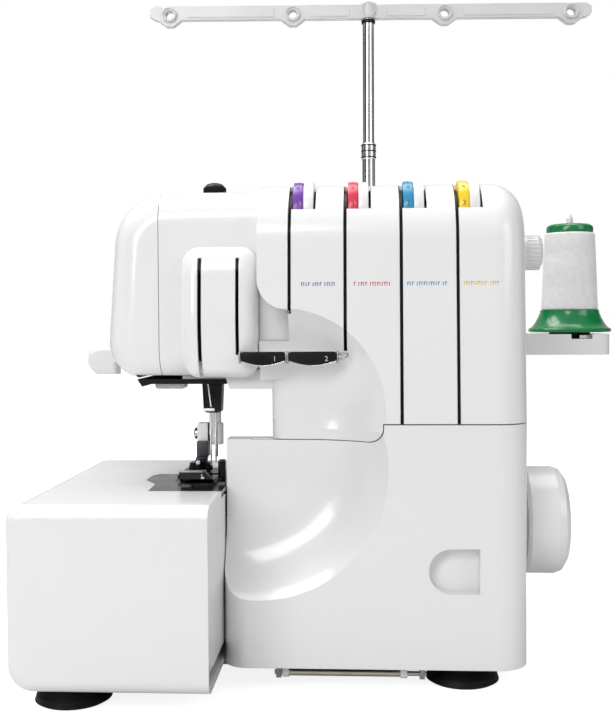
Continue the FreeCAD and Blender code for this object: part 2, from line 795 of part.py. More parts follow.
low_tuck = size("bulge_low_tuck", 8.5)
low_tuck_height = size("bulge_low_tuck_height", 13)
high_tuck = size("bulge_high_tuck", 8)
high_tuck_height = size("bulge_high_tuck_height", 12)
bulge_bow = size("bulge_bow", 2.2)
bulge_middle = bulge_low + size("bulge_middle_height", 32)
bulge_tuck_radius = size("bulge_tuck_radius", 10.5)
bulge_bend_radius = size("bulge_bend_radius", 24)
bulge_face_radius = size("bulge_face_radius", 90)
bulge_edge = size("bulge_edge_radius", 10)
strip_left = tower_left - size("strip_offset", 33)
strip_right = strip_left + size("strip_width", 20.1)
strip_gap_left = size("strip_gap_left", 2.3)
strip_gap_right = size("strip_gap_right", 2)
strip_top = bulge_high - size("strip_drop", 7.2)
strip_slots = []
right_slot_low = bulge_low + size("right_strip_rise", 14)
for side, slot_start, slot_end, slot_low in (
    ("left", strip_left - strip_gap_left, strip_left, bulge_low - beyond),
    ("right", strip_right, strip_right + strip_gap_right, right_slot_low),
):
    strip_slots.append(box("strip_slot_" + side, (slot_start, slot_end),
                           (bulge_front - beyond, head_front - 1), (slot_low, strip_top)))
node("take_up_cover", cut("take_up_cover_body", bulge_form("bulge", as_size(0), head_front), [
    bulge_form("bulge_room", bulge_wall, head_front + 1),
] + strip_slots))

# Dark channels that line the thread slots


def channel(name, x, low):
    strip = box(name + "_strip", (x - 3, x + 1.2), (body_front, body_front + slot_run_back + 2),
                (low, body_top))
    return common(name, channel_skin, strip)


channel_gap = size("channel_gap", 0.3)
liner_lap = size("liner_lap", 2)
liner_setback = size("liner_setback", 7)
channel_sheet = size("channel_sheet", 1.5)
channel_skin = cut("channel_skin",
                   cut("channel_outside", tower_form("channel_form", casing_wall + channel_gap),
                       inner_scoops),
                   [tower_form("channel_room", casing_wall + channel_gap + channel_sheet)])
channel_lows = [slot_ends[0] - 4, slot_ends[1] - 1, seam_height + half_gap, seam_height + half_gap]
channels = []
for index in range(4):
    channels.append(channel(f"channel_{index + 1}", slot_xs[index], channel_lows[index]))
channels.append(box("take_up_liner",
                    (bulge_left + mouth_inset - liner_lap, bulge_right - mouth_inset + liner_lap),
                    (bulge_front + bulge_wall + liner_setback, head_front - channel_gap),
                    (bulge_low + 10, bulge_high - 16)))
node("thread_channels", group("thread_channel_set", channels))

# Needle thread guides on the shelf

guide_low = shelf_low - size("guide_drop", 3)
guide_height = size("guide_height", 8)
guide_depth = size("guide_depth", 4)
left_guide = tower_left - size("guide_overhang", 8.4)
guide_gap = size("guide_gap", 2.8)
left_guide_length = size("left_guide_length", 24.3)
right_guide_length = size("right_guide_length", 26.8)
guide_face = scoop_floor - shelf_reach


def thread_guide(name, x, length):
    body = padded(name, "XZ", [
        (x + length * 0.3, guide_low),
        (x + length * 0.7, guide_low),
        (x + length, guide_low + guide_height * 0.35),
        (x + length, guide_low + guide_height),
        (x, guide_low + guide_height),
        (x, guide_low + guide_height * 0.35),
    ], (guide_face - guide_depth, guide_face))
    return rounded(body, size(name + "_radius", 3), [{"x": None, "z": guide_low.value, "keep": lambda mid:
                   abs(mid.y - (guide_face - guide_depth / 2).value) < 0.1}])


node("thread_guides", group("guide_pair", [
    thread_guide("guide_left", left_guide, left_guide_length),
    thread_guide("guide_right", left_guide + left_guide_length + guide_gap, right_guide_length),
]))

# Cloth table: hollow box that slides off the free arm to the left

table_clear = size("table_clearance", 0.4)
table_wall = size("table_wall", 3)
table_front_radius = size("table_front_radius", 8)
table_rear_radius = size("table_rear_radius", 5)
table_top_radius = size("table_top_radius", 10)
table_low_radius = size("table_low_radius", 15)
plate_gap = size("plate_gap", 0.4)
plate_left = table_right - size("plate_length", 52.5)
plate_front = body_front + size("plate_setback", 3.5)
plate_depth = size("plate_depth", 68)
plate_rear = plate_front + plate_depth
plate_thickness = size("plate_thickness", 2.4)
plate_fork = size("plate_fork_depth", 9)
plate_front_inset = size("plate_front_inset", 10)


def plate_form(name, grow, right, z_span):
    return padded(name, "XY", [
        (plate_left + plate_front_inset - grow, plate_front - grow),
        (right, plate_front - grow),
        (right, plate_rear + grow),
        (plate_left + 3 - grow, plate_rear + grow),
        (plate_left - grow, plate_rear - 7),
        (plate_left - grow, plate_front + plate_depth * 0.62),
        (plate_left + plate_fork - grow, plate_front + plate_depth * 0.38),
    ], z_span)


def table_form(name, inset, right):
    left = table_left + inset
    front = table_front + inset
    rear = body_rear - inset
    low = base_top + table_clear + inset
    top = table_top - inset
    body = padded(name, "XZ", [(left, low), (right, low), (right, top), (left, top)], (front, rear))
    rounded(body, table_top_radius - inset, [{"x": left.value, "z": top.value}])
    rounded(body, table_low_radius - inset, [{"x": left.value, "z": low.value}])
    edge = as_size(right).value - 0.5
    rounded(body, table_front_radius - inset, [{"y": front.value, "keep": lambda mid: mid.x < edge}])
    return rounded(body, table_rear_radius - inset, [{"y": rear.value, "keep": lambda mid: mid.x < edge}])


cheek_rear = body_front + size("cheek_lap", 19.5)
side_cheek = box("table_cheek", (table_right - table_wall, table_right), (table_front + 1, cheek_rear),
                 (base_top + table_clear + 12, table_top - 1))
table_shell = cut("table_shell", table_form("table_block", as_size(0), table_right),
                  [table_form("table_room", table_wall, table_right + 10)])
cheek_trim = common("table_cheek_trim", side_cheek, table_form("table_limit", as_size(0), table_right + 10))
node("cloth_table", cut("cloth_table_body", fuse("table_with_cheek", [table_shell, cheek_trim]), [
    plate_form("plate_notch", plate_gap, table_right + beyond,
               (table_top - table_wall - 1, table_top + beyond)),
]))

# Needle plate with feed slots and needle hole

main_feed_x = needle_x - size("main_feed_offset", 20.5)
front_feed_x = needle_x - size("front_feed_offset", 13)
feed_width = size("feed_width", 5)
feed_stroke = size("feed_stroke", 2)
main_feed_front = needle_y - size("main_feed_front", 0.5)
main_feed_rear = main_feed_front + size("main_feed_length", 18)
front_feed_front = needle_y - size("front_feed_front", 24.5)
front_feed_rear = front_feed_front + size("front_feed_length", 18)
feed_proud = size("feed_proud", 0.7)
feed_slot_gap = size("feed_slot_gap", 0.5)
needle_hole_length = size("needle_hole_length", 8)
needle_hole_width = size("needle_hole_width", 4)
plate_low = table_top - plate_thickness


def feed_slot(name, x, front, rear):
    return box(name, (x - feed_width / 2 - feed_slot_gap, x + feed_width / 2 + feed_slot_gap),
               (front - feed_stroke - feed_slot_gap, rear + feed_stroke + feed_slot_gap),
               (plate_low - 5, table_top + 5))


plate_blank = plate_form("plate_blank", as_size(0), table_right, (plate_low, table_top))
plate_screw_y = plate_rear - size("plate_screw_inset", 5)
plate_screw_xs = [plate_left + size("plate_screw_left", 11), table_right - size("plate_screw_right", 8)]
plate_screw_radius = size("plate_screw_radius", 1.8)
plate_screw_head = size("plate_screw_head", 1.2)
plate_tools = [
    feed_slot("main_feed_slot", main_feed_x, main_feed_front, main_feed_rear),
    feed_slot("front_feed_slot", front_feed_x, front_feed_front, front_feed_rear),
    box("needle_hole", (needle_x - needle_hole_length / 2, needle_x + needle_hole_length / 2),
        (needle_y - needle_hole_width / 2, needle_y + needle_hole_width / 2),
        (plate_low - 5, table_top + 5)),
]
knife_x = table_right - size("knife_inset", 3.6)
knife_y = needle_y - size("knife_advance", 12.5)
knife_width = size("knife_width", 5)
knife_thickness = size("knife_thickness", 3.8)
low_knife_thickness = size("low_knife_thickness", 2.1)
knife_gap = size("knife_gap", 0.3)
plate_tools.append(box("knife_notch",
                       (knife_x - knife_thickness / 2 - low_knife_thickness - 2 * knife_gap,
                        table_right + 5),
                       (knife_y - knife_width / 2 - 0.6, knife_y + knife_width / 2 + 0.6),
                       (plate_low - 5, table_top + 5)))
for index in range(2):
    plate_tools.append(rod(f"plate_screw_hole_{index}", "Z", (plate_screw_xs[index], plate_screw_y),
                           (plate_low - 5, table_top + 5), plate_screw_radius + screw_clear))
    plate_tools.append(rod(f"plate_screw_seat_{index}", "Z", (plate_screw_xs[index], plate_screw_y),
                           (table_top - plate_screw_head, table_top + 5),
                           plate_screw_radius * 1.7 + screw_clear))
node("needle_plate", cut("needle_plate_body", plate_blank, plate_tools))
for index in range(2):
    head = plate_screw_radius * 1.7
    screws.append(turned(f"plate_screw_{index}", "Z", (plate_screw_xs[index], plate_screw_y), [
        (0, plate_low - 6),
        (plate_screw_radius, plate_low - 6),
        (plate_screw_radius, table_top - plate_screw_head),
        (head, table_top - plate_screw_head),
        (head, table_top - 0.1),
        (0, table_top - 0.1),
    ]))
node("cover_screws", group("screw_set", screws))

# Feed dogs on their bars

feed_bar_low = table_top - size("feed_bar_drop", 21)
feed_bar_height = size("feed_bar_height", 6)
feed_bar_rear = body_rear - size("feed_bar_end", 26)


def feed_dog(name, x, front, rear):
    span = (x - feed_width / 2, x + feed_width / 2)
    bar = box(name + "_bar", span, (front, feed_bar_rear), (feed_bar_low, feed_bar_low + feed_bar_height))
    stem = box(name + "_stem", span, (front, rear), (feed_bar_low + 1, table_top - 1))
    teeth = [stem, bar]
    pitch = (rear - front) / 6
    for index in range(6):
        start = front + pitch * index
        teeth.append(box(f"{name}_tooth_{index}", span, (start + 0.4, start + pitch - 0.8),
                         (table_top - 2, table_top + feed_proud)))
    return fuse(name, teeth)


node("main_feed_dog", feed_dog("main_feed", main_feed_x, main_feed_front, main_feed_rear))
node("front_feed_dog", feed_dog("front_feed", front_feed_x, front_feed_front, front_feed_rear))

# Needle bar, clamp, needles and their screws

needle_bar_radius = size("needle_bar_radius", 3.6)
clamp_drop = size("clamp_drop", 1)
clamp_height = size("clamp_height", 19)
clamp_width = size("clamp_width", 13)
clamp_depth = size("clamp_depth", 10)
needle_pitch = size("needle_pitch", 3)
needle_reach = size("needle_reach", 33)
needle_shank = size("needle_shank_radius", 1)
needle_blade = size("needle_blade_radius", 0.45)

clamp_top = head_bottom - clamp_drop
clamp_low = clamp_top - clamp_height
needle_tip = clamp_low - needle_reach
bar_top = head_top - casing_wall - size("needle_bar_headroom", 5)
clamp_bore_depth = size("clamp_bore_depth", 9)
node("needle_bar",
     rod("needle_bar_rod", "Z", (needle_x, needle_y), (clamp_top - clamp_bore_depth, bar_top),
         needle_bar_radius))
clamp_block = padded("clamp_block", "XY", [
    (needle_x - clamp_width / 2, needle_y - clamp_depth * 0.3),
    (needle_x - clamp_width * 0.3, needle_y - clamp_depth / 2),
    (needle_x + clamp_width * 0.3, needle_y - clamp_depth / 2),
    (needle_x + clamp_width / 2, needle_y - clamp_depth * 0.3),
    (needle_x + clamp_width / 2, needle_y + clamp_depth / 2),
    (needle_x - clamp_width / 2, needle_y + clamp_depth / 2),
], (clamp_low, clamp_top))
shank_seat = size("needle_shank_seat", 8)
clamp_screw_z = clamp_low + size("clamp_screw_height", 4)
clamp_screw_radius = size("clamp_screw_radius", 1.3)
clamp_tools = [rod("clamp_bore", "Z", (needle_x, needle_y), (clamp_top - clamp_bore_depth, clamp_top + 5),
                   needle_bar_radius)]
needles = []
clamp_screws = []
for side, offset in (("left", -needle_pitch / 2), ("right", needle_pitch / 2)):
    x = needle_x + offset
    clamp_tools.append(rod("shank_seat_" + side, "Z", (x, needle_y),
                           (clamp_low - 1, clamp_low + shank_seat), needle_shank))
    clamp_tools.append(rod("clamp_screw_seat_" + side, "Y", (x, clamp_screw_z),
                           (needle_y - clamp_depth, needle_y - needle_shank),
                           clamp_screw_radius))
    needles.append(turned("needle_" + side, "Z", (x, needle_y), [
        (0, needle_tip),
        (needle_blade, needle_tip + 4),
        (needle_blade, clamp_low - 5),
        (needle_shank, clamp_low - 3),
        (needle_shank, clamp_low + shank_seat),
        (0, clamp_low + shank_seat),
    ]))
    clamp_screws.append(turned("clamp_screw_" + side, "Y", (x, clamp_screw_z), [
        (0, needle_y - clamp_depth / 2 - 2),
        (clamp_screw_radius - 0.05, needle_y - clamp_depth / 2 - 2),
        (clamp_screw_radius - 0.05, needle_y - needle_shank - 0.1),
        (0, needle_y - needle_shank - 0.1),
    ]))
clamp_body = cut("needle_clamp_body", clamp_block, clamp_tools)
node("needle_clamp", group("clamp_with_screws", [clamp_body] + clamp_screws))
node("needles", group("needle_pair", needles))

# Presser bar, spring, ankle and foot

presser_bar_radius = size("presser_bar_radius", 3)
presser_low = table_top + size("presser_bar_end", 20)
presser_high = head_top - size("presser_bar_headroom", 22)
collar_low = head_bottom + size("collar_height", 23.5)
collar_height = size("collar_thickness", 4)
collar_radius = size("collar_radius", 6)
lower_lug_top = head_bottom + size("lower_lug_height", 18)
upper_lug_low = head_bottom + size("upper_lug_height", 68)
upper_lug_top = upper_lug_low + size("upper_lug_thickness", 10)
node("presser_bar", turned("presser_rod", "Z", (presser_x, presser_y), [
    (0, presser_low),
    (presser_bar_radius, presser_low),
    (presser_bar_radius, collar_low),
    (collar_radius, collar_low),
    (collar_radius, collar_low + collar_height),
    (presser_bar_radius, collar_low + collar_height),
    (presser_bar_radius, presser_high),
    (0, presser_high),
]))
spring_wire = size("spring_wire_radius", 0.7)
spring_radius = size("spring_radius", 4.8)
spring_low = collar_low + collar_height + spring_wire
spring_high = upper_lug_low - spring_wire
spring_turns = size("spring_turns", 9)
spring_path = doc.addObject("Part::Helix", "spring_path")
bind(spring_path, "Radius", spring_radius)
bind(spring_path, "Height", spring_high - spring_low)
bind(spring_path, "Pitch", (spring_high - spring_low) / spring_turns)
place(spring_path, UPRIGHT, presser_x, presser_y, spring_low)
wire_ring = doc.addObject("Part::Circle", "spring_wire_ring")
bind(wire_ring, "Radius", spring_wire)
place(wire_ring, Rotation(Vector(1, 0, 0), 90), presser_x + spring_radius, presser_y, spring_low)
spring = doc.addObject("Part::Sweep", "spring_coil")
spring.Sections = [wire_ring]
spring.Spine = (spring_path, [])
spring.Solid = True
spring.Frenet = True
node("presser_spring", spring)

ankle_left = presser_x - size("ankle_reach", 12)
ankle_top = presser_low + size("ankle_grip", 14)
ankle_low = table_top + size("ankle_clearance", 8.5)
ankle_depth = size("ankle_depth", 10)
ankle_gap = size("ankle_gap", 0.05)
ankle_screw_radius = size("ankle_screw_radius", 2)
ankle_screw_z = presser_low + size("ankle_screw_height", 7)
foot_pin_y = presser_y - size("foot_pin_advance", 12)
foot_pin_z = table_top + size("foot_pin_height", 6.5)
foot_pin_radius = size("foot_pin_radius", 1.5)
ankle_width = size("ankle_width", 7)
ankle_ring = size("ankle_ring", 1.6)
ankle_block = box("ankle_block", (ankle_left, ankle_left + ankle_width),
                  (presser_y - ankle_depth / 2, presser_y + ankle_depth / 2), (presser_low - 4, ankle_top))
ankle_web = box("ankle_web", (ankle_left + 1, presser_x), (presser_y - presser_bar_radius,
                presser_y + presser_bar_radius + ankle_ring), (presser_low - 2, ankle_top))
ankle_eye = rod("ankle_eye", "Z", (presser_x, presser_y), (presser_low - 2, ankle_top),
                presser_bar_radius + ankle_ring)
ankle_stem = box("ankle_stem", (ankle_left, ankle_left + ankle_width),
                 (foot_pin_y - 3, presser_y + ankle_depth / 2), (ankle_low, presser_low - 2))
ankle_nose = box("ankle_nose", (ankle_left, ankle_left + ankle_width), (foot_pin_y - 3, foot_pin_y + 3),
                 (foot_pin_z - 1, ankle_low + 6))
foot_pin = rod("foot_pin", "X", (foot_pin_y, foot_pin_z), (ankle_left - 4, ankle_left + 11), foot_pin_radius)
ankle_blank = fuse("ankle_blank", [ankle_block, ankle_web, ankle_eye, ankle_stem, ankle_nose, foot_pin])
node("presser_ankle", cut("ankle_body", ankle_blank, [
    rod("ankle_bore", "Z", (presser_x, presser_y), (presser_low, ankle_top + 5),
        presser_bar_radius + ankle_gap),
    rod("ankle_screw_bore", "X", (presser_y, ankle_screw_z),
        (ankle_left - 5, presser_x - presser_bar_radius),
        ankle_screw_radius + ankle_gap),
]))
thumb_radius = size("thumb_screw_radius", 3.9)
thumb_length = size("thumb_screw_length", 2.6)
node("ankle_screw", turned("thumb_screw", "X", (presser_y, ankle_screw_z), [
    (0, ankle_left - thumb_length),
    (thumb_radius * 0.6, ankle_left - thumb_length),
    (thumb_radius, ankle_left - thumb_length * 0.6),
    (thumb_radius, ankle_left),
    (ankle_screw_radius, ankle_left),
    (ankle_screw_radius, presser_x - presser_bar_radius - 0.1),
    (0, presser_x - presser_bar_radius - 0.1),
]))
sole_left = needle_x - size("sole_reach_left", 21.5)
sole_right = needle_x + size("sole_reach_right", 3.5)
sole_front = plate_front + size("sole_front_inset", 12)
sole_rear = presser_y + size("sole_rear_reach", 6)
sole_low = table_top + feed_proud + size("sole_gap", 1)
sole_thickness = size("sole_thickness", 2.2)
sole_high = sole_low + sole_thickness
toe_rise = size("toe_rise", 8)
toe_inset = size("toe_inset", 5.2)
toe_length = size("toe_length", 24)
foot_side = padded("foot_side", "YZ", [
    (sole_front + 7, sole_low),
    (sole_rear - 2, sole_low),
    (sole_rear, sole_low + 1),
    (sole_rear, sole_high),
    (sole_front + 7.5, sole_high),
    (sole_front + 2.2, sole_low + toe_rise),
    (sole_front, sole_low + toe_rise),
    (sole_front + 1, sole_low + toe_rise * 0.4),
], (sole_left, sole_right))
ear_high = foot_pin_z + foot_pin_radius + 2
ears = []
for side, ear_x in (("left", ankle_left - 3), ("right", ankle_left + 7.4)):
    ears.append(box("foot_ear_" + side, (ear_x, ear_x + 2.6), (foot_pin_y - 4, foot_pin_y + 4),
                    (sole_low + 1, ear_high)))
node("presser_foot", cut("presser_foot_body", fuse("foot_blank", [foot_side] + ears), [
    rod("foot_pin_bore", "X", (foot_pin_y, foot_pin_z), (sole_left - 5, sole_right + 5),
        foot_pin_radius + running_gap),
    box("foot_toe_trim", (sole_left - 1, sole_left + toe_inset), (sole_front - 1, sole_front + toe_length),
        (sole_low - 1, sole_low + toe_rise + 1)),
    box("foot_needle_slot", (needle_x - 3, sole_right + 1), (needle_y - 3.5, needle_y + 3.5),
        (sole_low - 1, sole_high + 1)),
]))

# Foot pressure knob and foot lifter

pressure_knob_radius = size("pressure_knob_radius", 7.4)
pressure_knob_height = size("pressure_knob_height", 8.5)
knob_gap = size("knob_gap", 0.6)
stem_drop = size("pressure_stem_drop", 15)
knob_low = head_top + knob_gap
node("pressure_knob", turned("pressure_dial", "Z", (presser_x, presser_y), [
    (0, head_top - stem_drop),
    (4, head_top - stem_drop),
    (4, knob_low),
    (pressure_knob_radius, knob_low),
    (pressure_knob_radius, knob_low + pressure_knob_height - 1.5),
    (pressure_knob_radius - 1.5, knob_low + pressure_knob_height),
    (0, knob_low + pressure_knob_height),
]))

lever_length = size("lever_length", 56)
lever_hub_radius = size("lever_hub_radius", 8)
lever_thickness = size("lever_thickness", 7)
lever_grip_reach = size("lever_grip_reach", 8.8)
lever_grip_rise = size("lever_grip_rise", 6.9)
lever_grip_drop = size("lever_grip_drop", 12.5)
lever_grip_length = size("lever_grip_length", 20.8)
lever_grip_edge = size("lever_grip_edge_radius", 3)
lever_grip_depth = size("lever_grip_depth", 13)
lever_gap = size("lever_gap", 1)
lever_face = head_rear + lever_gap
grip_end_x = lever_x - lever_length
lever_pin_depth = size("lever_pin_depth", 20)
grip_tip = grip_end_x - lever_grip_reach
grip_inner = grip_tip + lever_grip_length
grip_top = lever_z + lever_grip_rise
grip_low = lever_z - lever_grip_drop
lever_grip = padded("lever_grip", "XZ", [
    (grip_tip, lever_z - 3),
    (grip_tip + 0.9, grip_top - 3.9),
    (grip_tip + 4.4, grip_top - 0.8),
    (grip_tip + 10.8, grip_top),
    (grip_inner, grip_top),
    (grip_inner, grip_low),
    (grip_tip + 5.6, grip_low),
    (grip_tip + 1.3, grip_low + 5),
], (lever_face, lever_face + lever_grip_depth))
rounded(lever_grip, lever_grip_edge, [{"y": lever_face.value}])
node("lifter_lever", fuse("lifter_body", [
    rod("lever_hub", "Y", (lever_x, lever_z), (lever_face, lever_face + lever_thickness), lever_hub_radius),
    box("lever_arm", (grip_end_x, lever_x), (lever_face, lever_face + lever_thickness),
        (lever_z - 4, lever_z + 4)),
    lever_grip,
    rod("lever_pin", "Y", (lever_x, lever_z), (head_rear - lever_pin_depth, lever_face + 1),
        lever_pin_radius),
]))

# Tension dials, posts, discs and their bracket

post_radius = size("post_radius", 3)
ear_gap = size("tension_ear_gap", 2)
ear_width = size("tension_ear_width", 3)
ear_half = size("tension_ear_half_height", 4.5)
bracket_y = dial_y + size("bracket_setback", 24.2)
bracket_thickness = size("bracket_thickness", 3)
bracket_low = dial_z - size("bracket_drop", 46)
bracket_high = dial_z + size("bracket_rise", 8)
disc_radius = size("tension_disc_radius", 6.5)
posts = []
discs = []
ears = []
post_bores = []
dial_names = ["left_needle_dial", "right_needle_dial", "upper_looper_dial", "lower_looper_dial"]
for index in range(4):
    start = slot_xs[index] + dial_offset
    end = start + dial_width
    node(dial_names[index], turned(f"dial_{index + 1}", "X", (dial_y, dial_z), [
        (post_radius + running_gap, start),
        (dial_radius - 1.2, start),
        (dial_radius, start + 1.2),
        (dial_radius, end - 1.2),
        (dial_radius - 1.2, end),
        (post_radius + running_gap, end),
    ]))
    ear_start = end + ear_gap
    posts.append(rod(f"tension_post_{index + 1}", "X", (dial_y, dial_z),
                     (start + 0.5, ear_start + ear_width + 11), post_radius))
    ears.append(box(f"tension_ear_{index + 1}", (ear_start, ear_start + ear_width),
                    (dial_y - ear_half, bracket_y + 1),
                    (dial_z - ear_half, dial_z + ear_half)))
    post_bores.append(rod(f"tension_ear_bore_{index + 1}", "X", (dial_y, dial_z),
                          (ear_start - 1, ear_start + ear_width + 1),
                          post_radius))
    disc_start = ear_start + ear_width + 2
    for side in range(2):
        begin = disc_start + 2.2 * side
        discs.append(turned(f"tension_disc_{index + 1}_{side + 1}", "X", (dial_y, dial_z), [
            (post_radius + 0.1, begin),
            (disc_radius, begin + 0.8 * (1 - side)),
            (disc_radius, begin + 0.8 * (1 - side) + 0.8),
            (post_radius + 0.1, begin + 1.6),
        ]))
bracket_plate = box("tension_plate", (pillar_left + 6, body_right - 12),
                    (bracket_y, bracket_y + bracket_thickness),
                    (bracket_low, bracket_high))
node("tension_bracket",
     cut("tension_bracket_body", fuse("tension_bracket_blank", [bracket_plate] + ears), post_bores))
node("tension_units", group("tension_unit_set", posts + discs))

# Machine frame casting: bed, walls, free arm, column and sewing arm

frame_left = body_left + size("frame_inset_left", 37.5)
frame_right = body_right - size("frame_inset_right", 10)
frame_front = body_front + size("frame_inset_front", 47.5)
frame_rear = body_rear - size("frame_inset_rear", 7.5)
floor_thickness = size("frame_floor", 5)
frame_wall = size("frame_wall", 10)
frame_height = size("frame_height", 134)
floor_top = base_top + floor_thickness
frame_top = base_top + frame_height
column_depth = size("column_depth", 55)
column_width = size("column_width", 30)
arm_low = head_bottom + size("arm_height", 31.5)
arm_high = arm_low + size("arm_thickness", 40)
arm_front = head_front + size("arm_setback", 60)
arm_rear = head_rear - size("arm_back_gap", 5)
lug_left_x = needle_x - size("lug_reach_left", 17.5)
lug_right_x = needle_x + size("lug_reach_right", 16.5)
lug_front = needle_y - size("lug_reach_front", 10.5)
beam_low = table_top - size("beam_drop", 26.5)
beam_high = table_top - size("beam_top_drop", 6.5)
beam_front = shaft_y + size("beam_setback", 15)
beam_left = plate_left + size("beam_inset", 3)
rail_low = feed_bar_low + feed_bar_height + 1
bush_radius = size("bush_radius", 10)
bush_length_x = size("bush_length", 12)
motor_y = shaft_y + size("motor_back", 45)
motor_z = shaft_z - size("motor_drop", 45)
motor_radius = size("motor_radius", 24)
motor_length = size("motor_length", 65)
motor_face = frame_right - size("motor_face_inset", 35)
motor_plate = size("motor_plate", 4)
motor_hole_radius = size("motor_hole_radius", 8)
looper_x = frame_left - size("looper_pivot_reach", 15)
lower_pivot_z = base_top + size("lower_pivot_height", 29)
upper_pivot_z = lower_pivot_z + size("pivot_spacing", 27)
pivot_radius = size("pivot_radius", 4)
pivot_boss_front = frame_front + size("pivot_boss_setback", 4)
pivot_boss_depth = size("pivot_boss_depth", 7)
guide_block_low = base_top + size("knife_block_rise", 6)
guide_block_high = guide_block_low + size("knife_block_height", 14)
knife_block_left = knife_x - size("knife_block_reach", 6)
knife_block_right = body_left + size("knife_block_end", 17.5)
knife_block_front = knife_y - knife_width / 2 - 2
knife_block_rear = knife_y + knife_width / 2 + 1.5

lug_rise = size("frame_lug_rise", 7)
frame_parts = [
    box("frame_floor", (knife_block_right, frame_right), (frame_front, frame_rear), (base_top, floor_top)),
    box("frame_left_wall", (frame_left, frame_left + frame_wall), (frame_front, frame_rear),
        (base_top, frame_top + 10)),
    box("frame_right_wall", (frame_right - frame_wall, frame_right), (frame_front, frame_front + 46),
        (base_top, frame_top)),
    box("frame_bridge", (frame_left, frame_right), (frame_front + 30, frame_front + 46),
        (frame_top - 10, frame_top)),
    box("frame_column", (frame_left, frame_left + column_width),
        (frame_rear - 5 - column_depth, frame_rear - 5),
        (frame_top - 5, arm_high + 7)),
    box("frame_arm", (lever_x - 14, frame_left + column_width), (arm_front, arm_rear), (arm_low, arm_high)),
    box("frame_tension_boss", (frame_left, frame_left + column_width),
        (bracket_y + bracket_thickness, arm_front + 2),
        (bracket_low + 2, bracket_low + 20)),
    box("frame_lower_lug", (lug_left_x, lug_right_x), (lug_front, arm_front + 2),
        (head_bottom + lug_rise, lower_lug_top)),
    box("frame_lug_seat", (lug_left_x, under_right - under_gap), (under_front + under_gap, arm_front + 2),
        (head_bottom, head_bottom + lug_rise + 1)),
    box("frame_upper_lug", (lug_left_x, lug_right_x), (lug_front, arm_front + 2),
        (upper_lug_low, upper_lug_top)),
    box("frame_lug_web", (lug_right_x - 8, lug_right_x), (lug_front, arm_front + 5),
        (head_bottom + lug_rise, upper_lug_top)),
    box("frame_lever_boss", (lever_x - 8, lever_x + 8), (arm_rear - 25, arm_rear - 4),
        (lever_z - 4.5, arm_low + 1)),
    box("frame_free_arm", (beam_left, frame_left + 1), (beam_front, frame_rear - 5), (beam_low, beam_high)),
    box("frame_rail_tie", (beam_left, table_right - 1.5), (plate_rear - 5, beam_front + 5),
        (rail_low, beam_high)),
    box("frame_rail_left", (beam_left, plate_screw_xs[0] + 5), (plate_rear - 9, plate_rear - 0.4),
        (rail_low, plate_low)),
    box("frame_rail_right", (plate_screw_xs[1] - 5, table_right - 1.5),
        (plate_rear - 9, plate_rear - 0.4), (rail_low, plate_low)),
    box("frame_motor_plate", (motor_face, motor_face + motor_plate),
        (motor_y - motor_radius, motor_y + motor_radius),
        (base_top, motor_z + motor_radius)),
    box("frame_pivot_boss", (looper_x - 8, frame_left + 2),
        (pivot_boss_front, pivot_boss_front + pivot_boss_depth),
        (lower_pivot_z - 9, upper_pivot_z + 9)),
    box("frame_knife_block", (knife_block_left, knife_block_right), (knife_block_front, knife_block_rear),
        (guide_block_low, guide_block_high)),
    box("frame_knife_foot", (knife_block_right - 14, knife_block_right + 4),
        (knife_block_front, frame_front + 2),
        (base_top, guide_block_low + 4)),
]
frame_tools = [
    rod("frame_left_bush_bore", "X", (shaft_y, shaft_z), (frame_left - 1, frame_left + frame_wall + 1),
        bush_radius),
    rod("frame_right_bush_bore", "X", (shaft_y, shaft_z), (frame_right - frame_wall - 1, frame_right + 1),
        bush_radius),
    rod("frame_needle_bore", "Z", (needle_x, needle_y), (head_bottom - 5, upper_lug_top + 5),
        needle_bar_radius + running_gap),
    rod("frame_presser_bore", "Z", (presser_x, presser_y), (head_bottom - 5, upper_lug_top + 5),
        presser_bar_radius + running_gap),
    rod("frame_lever_bore", "Y", (lever_x, lever_z), (head_rear - lever_pin_depth - 1, arm_rear + 1),
        lever_pin_radius + running_gap),
    box("frame_feed_channel", (main_feed_x - feed_width / 2 - 0.6, front_feed_x + feed_width / 2 + 0.6),
        (plate_front, frame_rear), (feed_bar_low - 0.3, feed_bar_low + feed_bar_height + 0.3)),
    rod("frame_motor_hole", "X", (motor_y, motor_z), (motor_face - 1, motor_face + motor_plate + 1),
        motor_hole_radius),
    rod("frame_lower_pivot_bore", "Y", (looper_x, lower_pivot_z),
        (pivot_boss_front - 1, pivot_boss_front + 20), pivot_radius),
    rod("frame_upper_pivot_bore", "Y", (looper_x, upper_pivot_z),
        (pivot_boss_front - 1, pivot_boss_front + 20), pivot_radius),
    box("frame_knife_guide",
        (knife_x - knife_thickness / 2 - knife_gap, knife_x + knife_thickness / 2 + knife_gap),
        (knife_y - knife_width / 2 - knife_gap, knife_y + knife_width / 2 + knife_gap),
        (guide_block_low - 5, guide_block_high + 5)),
]
for index in range(2):
    frame_tools.append(rod(f"frame_plate_screw_bore_{index}", "Z", (plate_screw_xs[index], plate_screw_y),
                           (plate_low - 7, plate_low + 5), plate_screw_radius + screw_clear))
node("machine_frame", cut("machine_frame_body", fuse("machine_frame_blank", frame_parts), frame_tools))

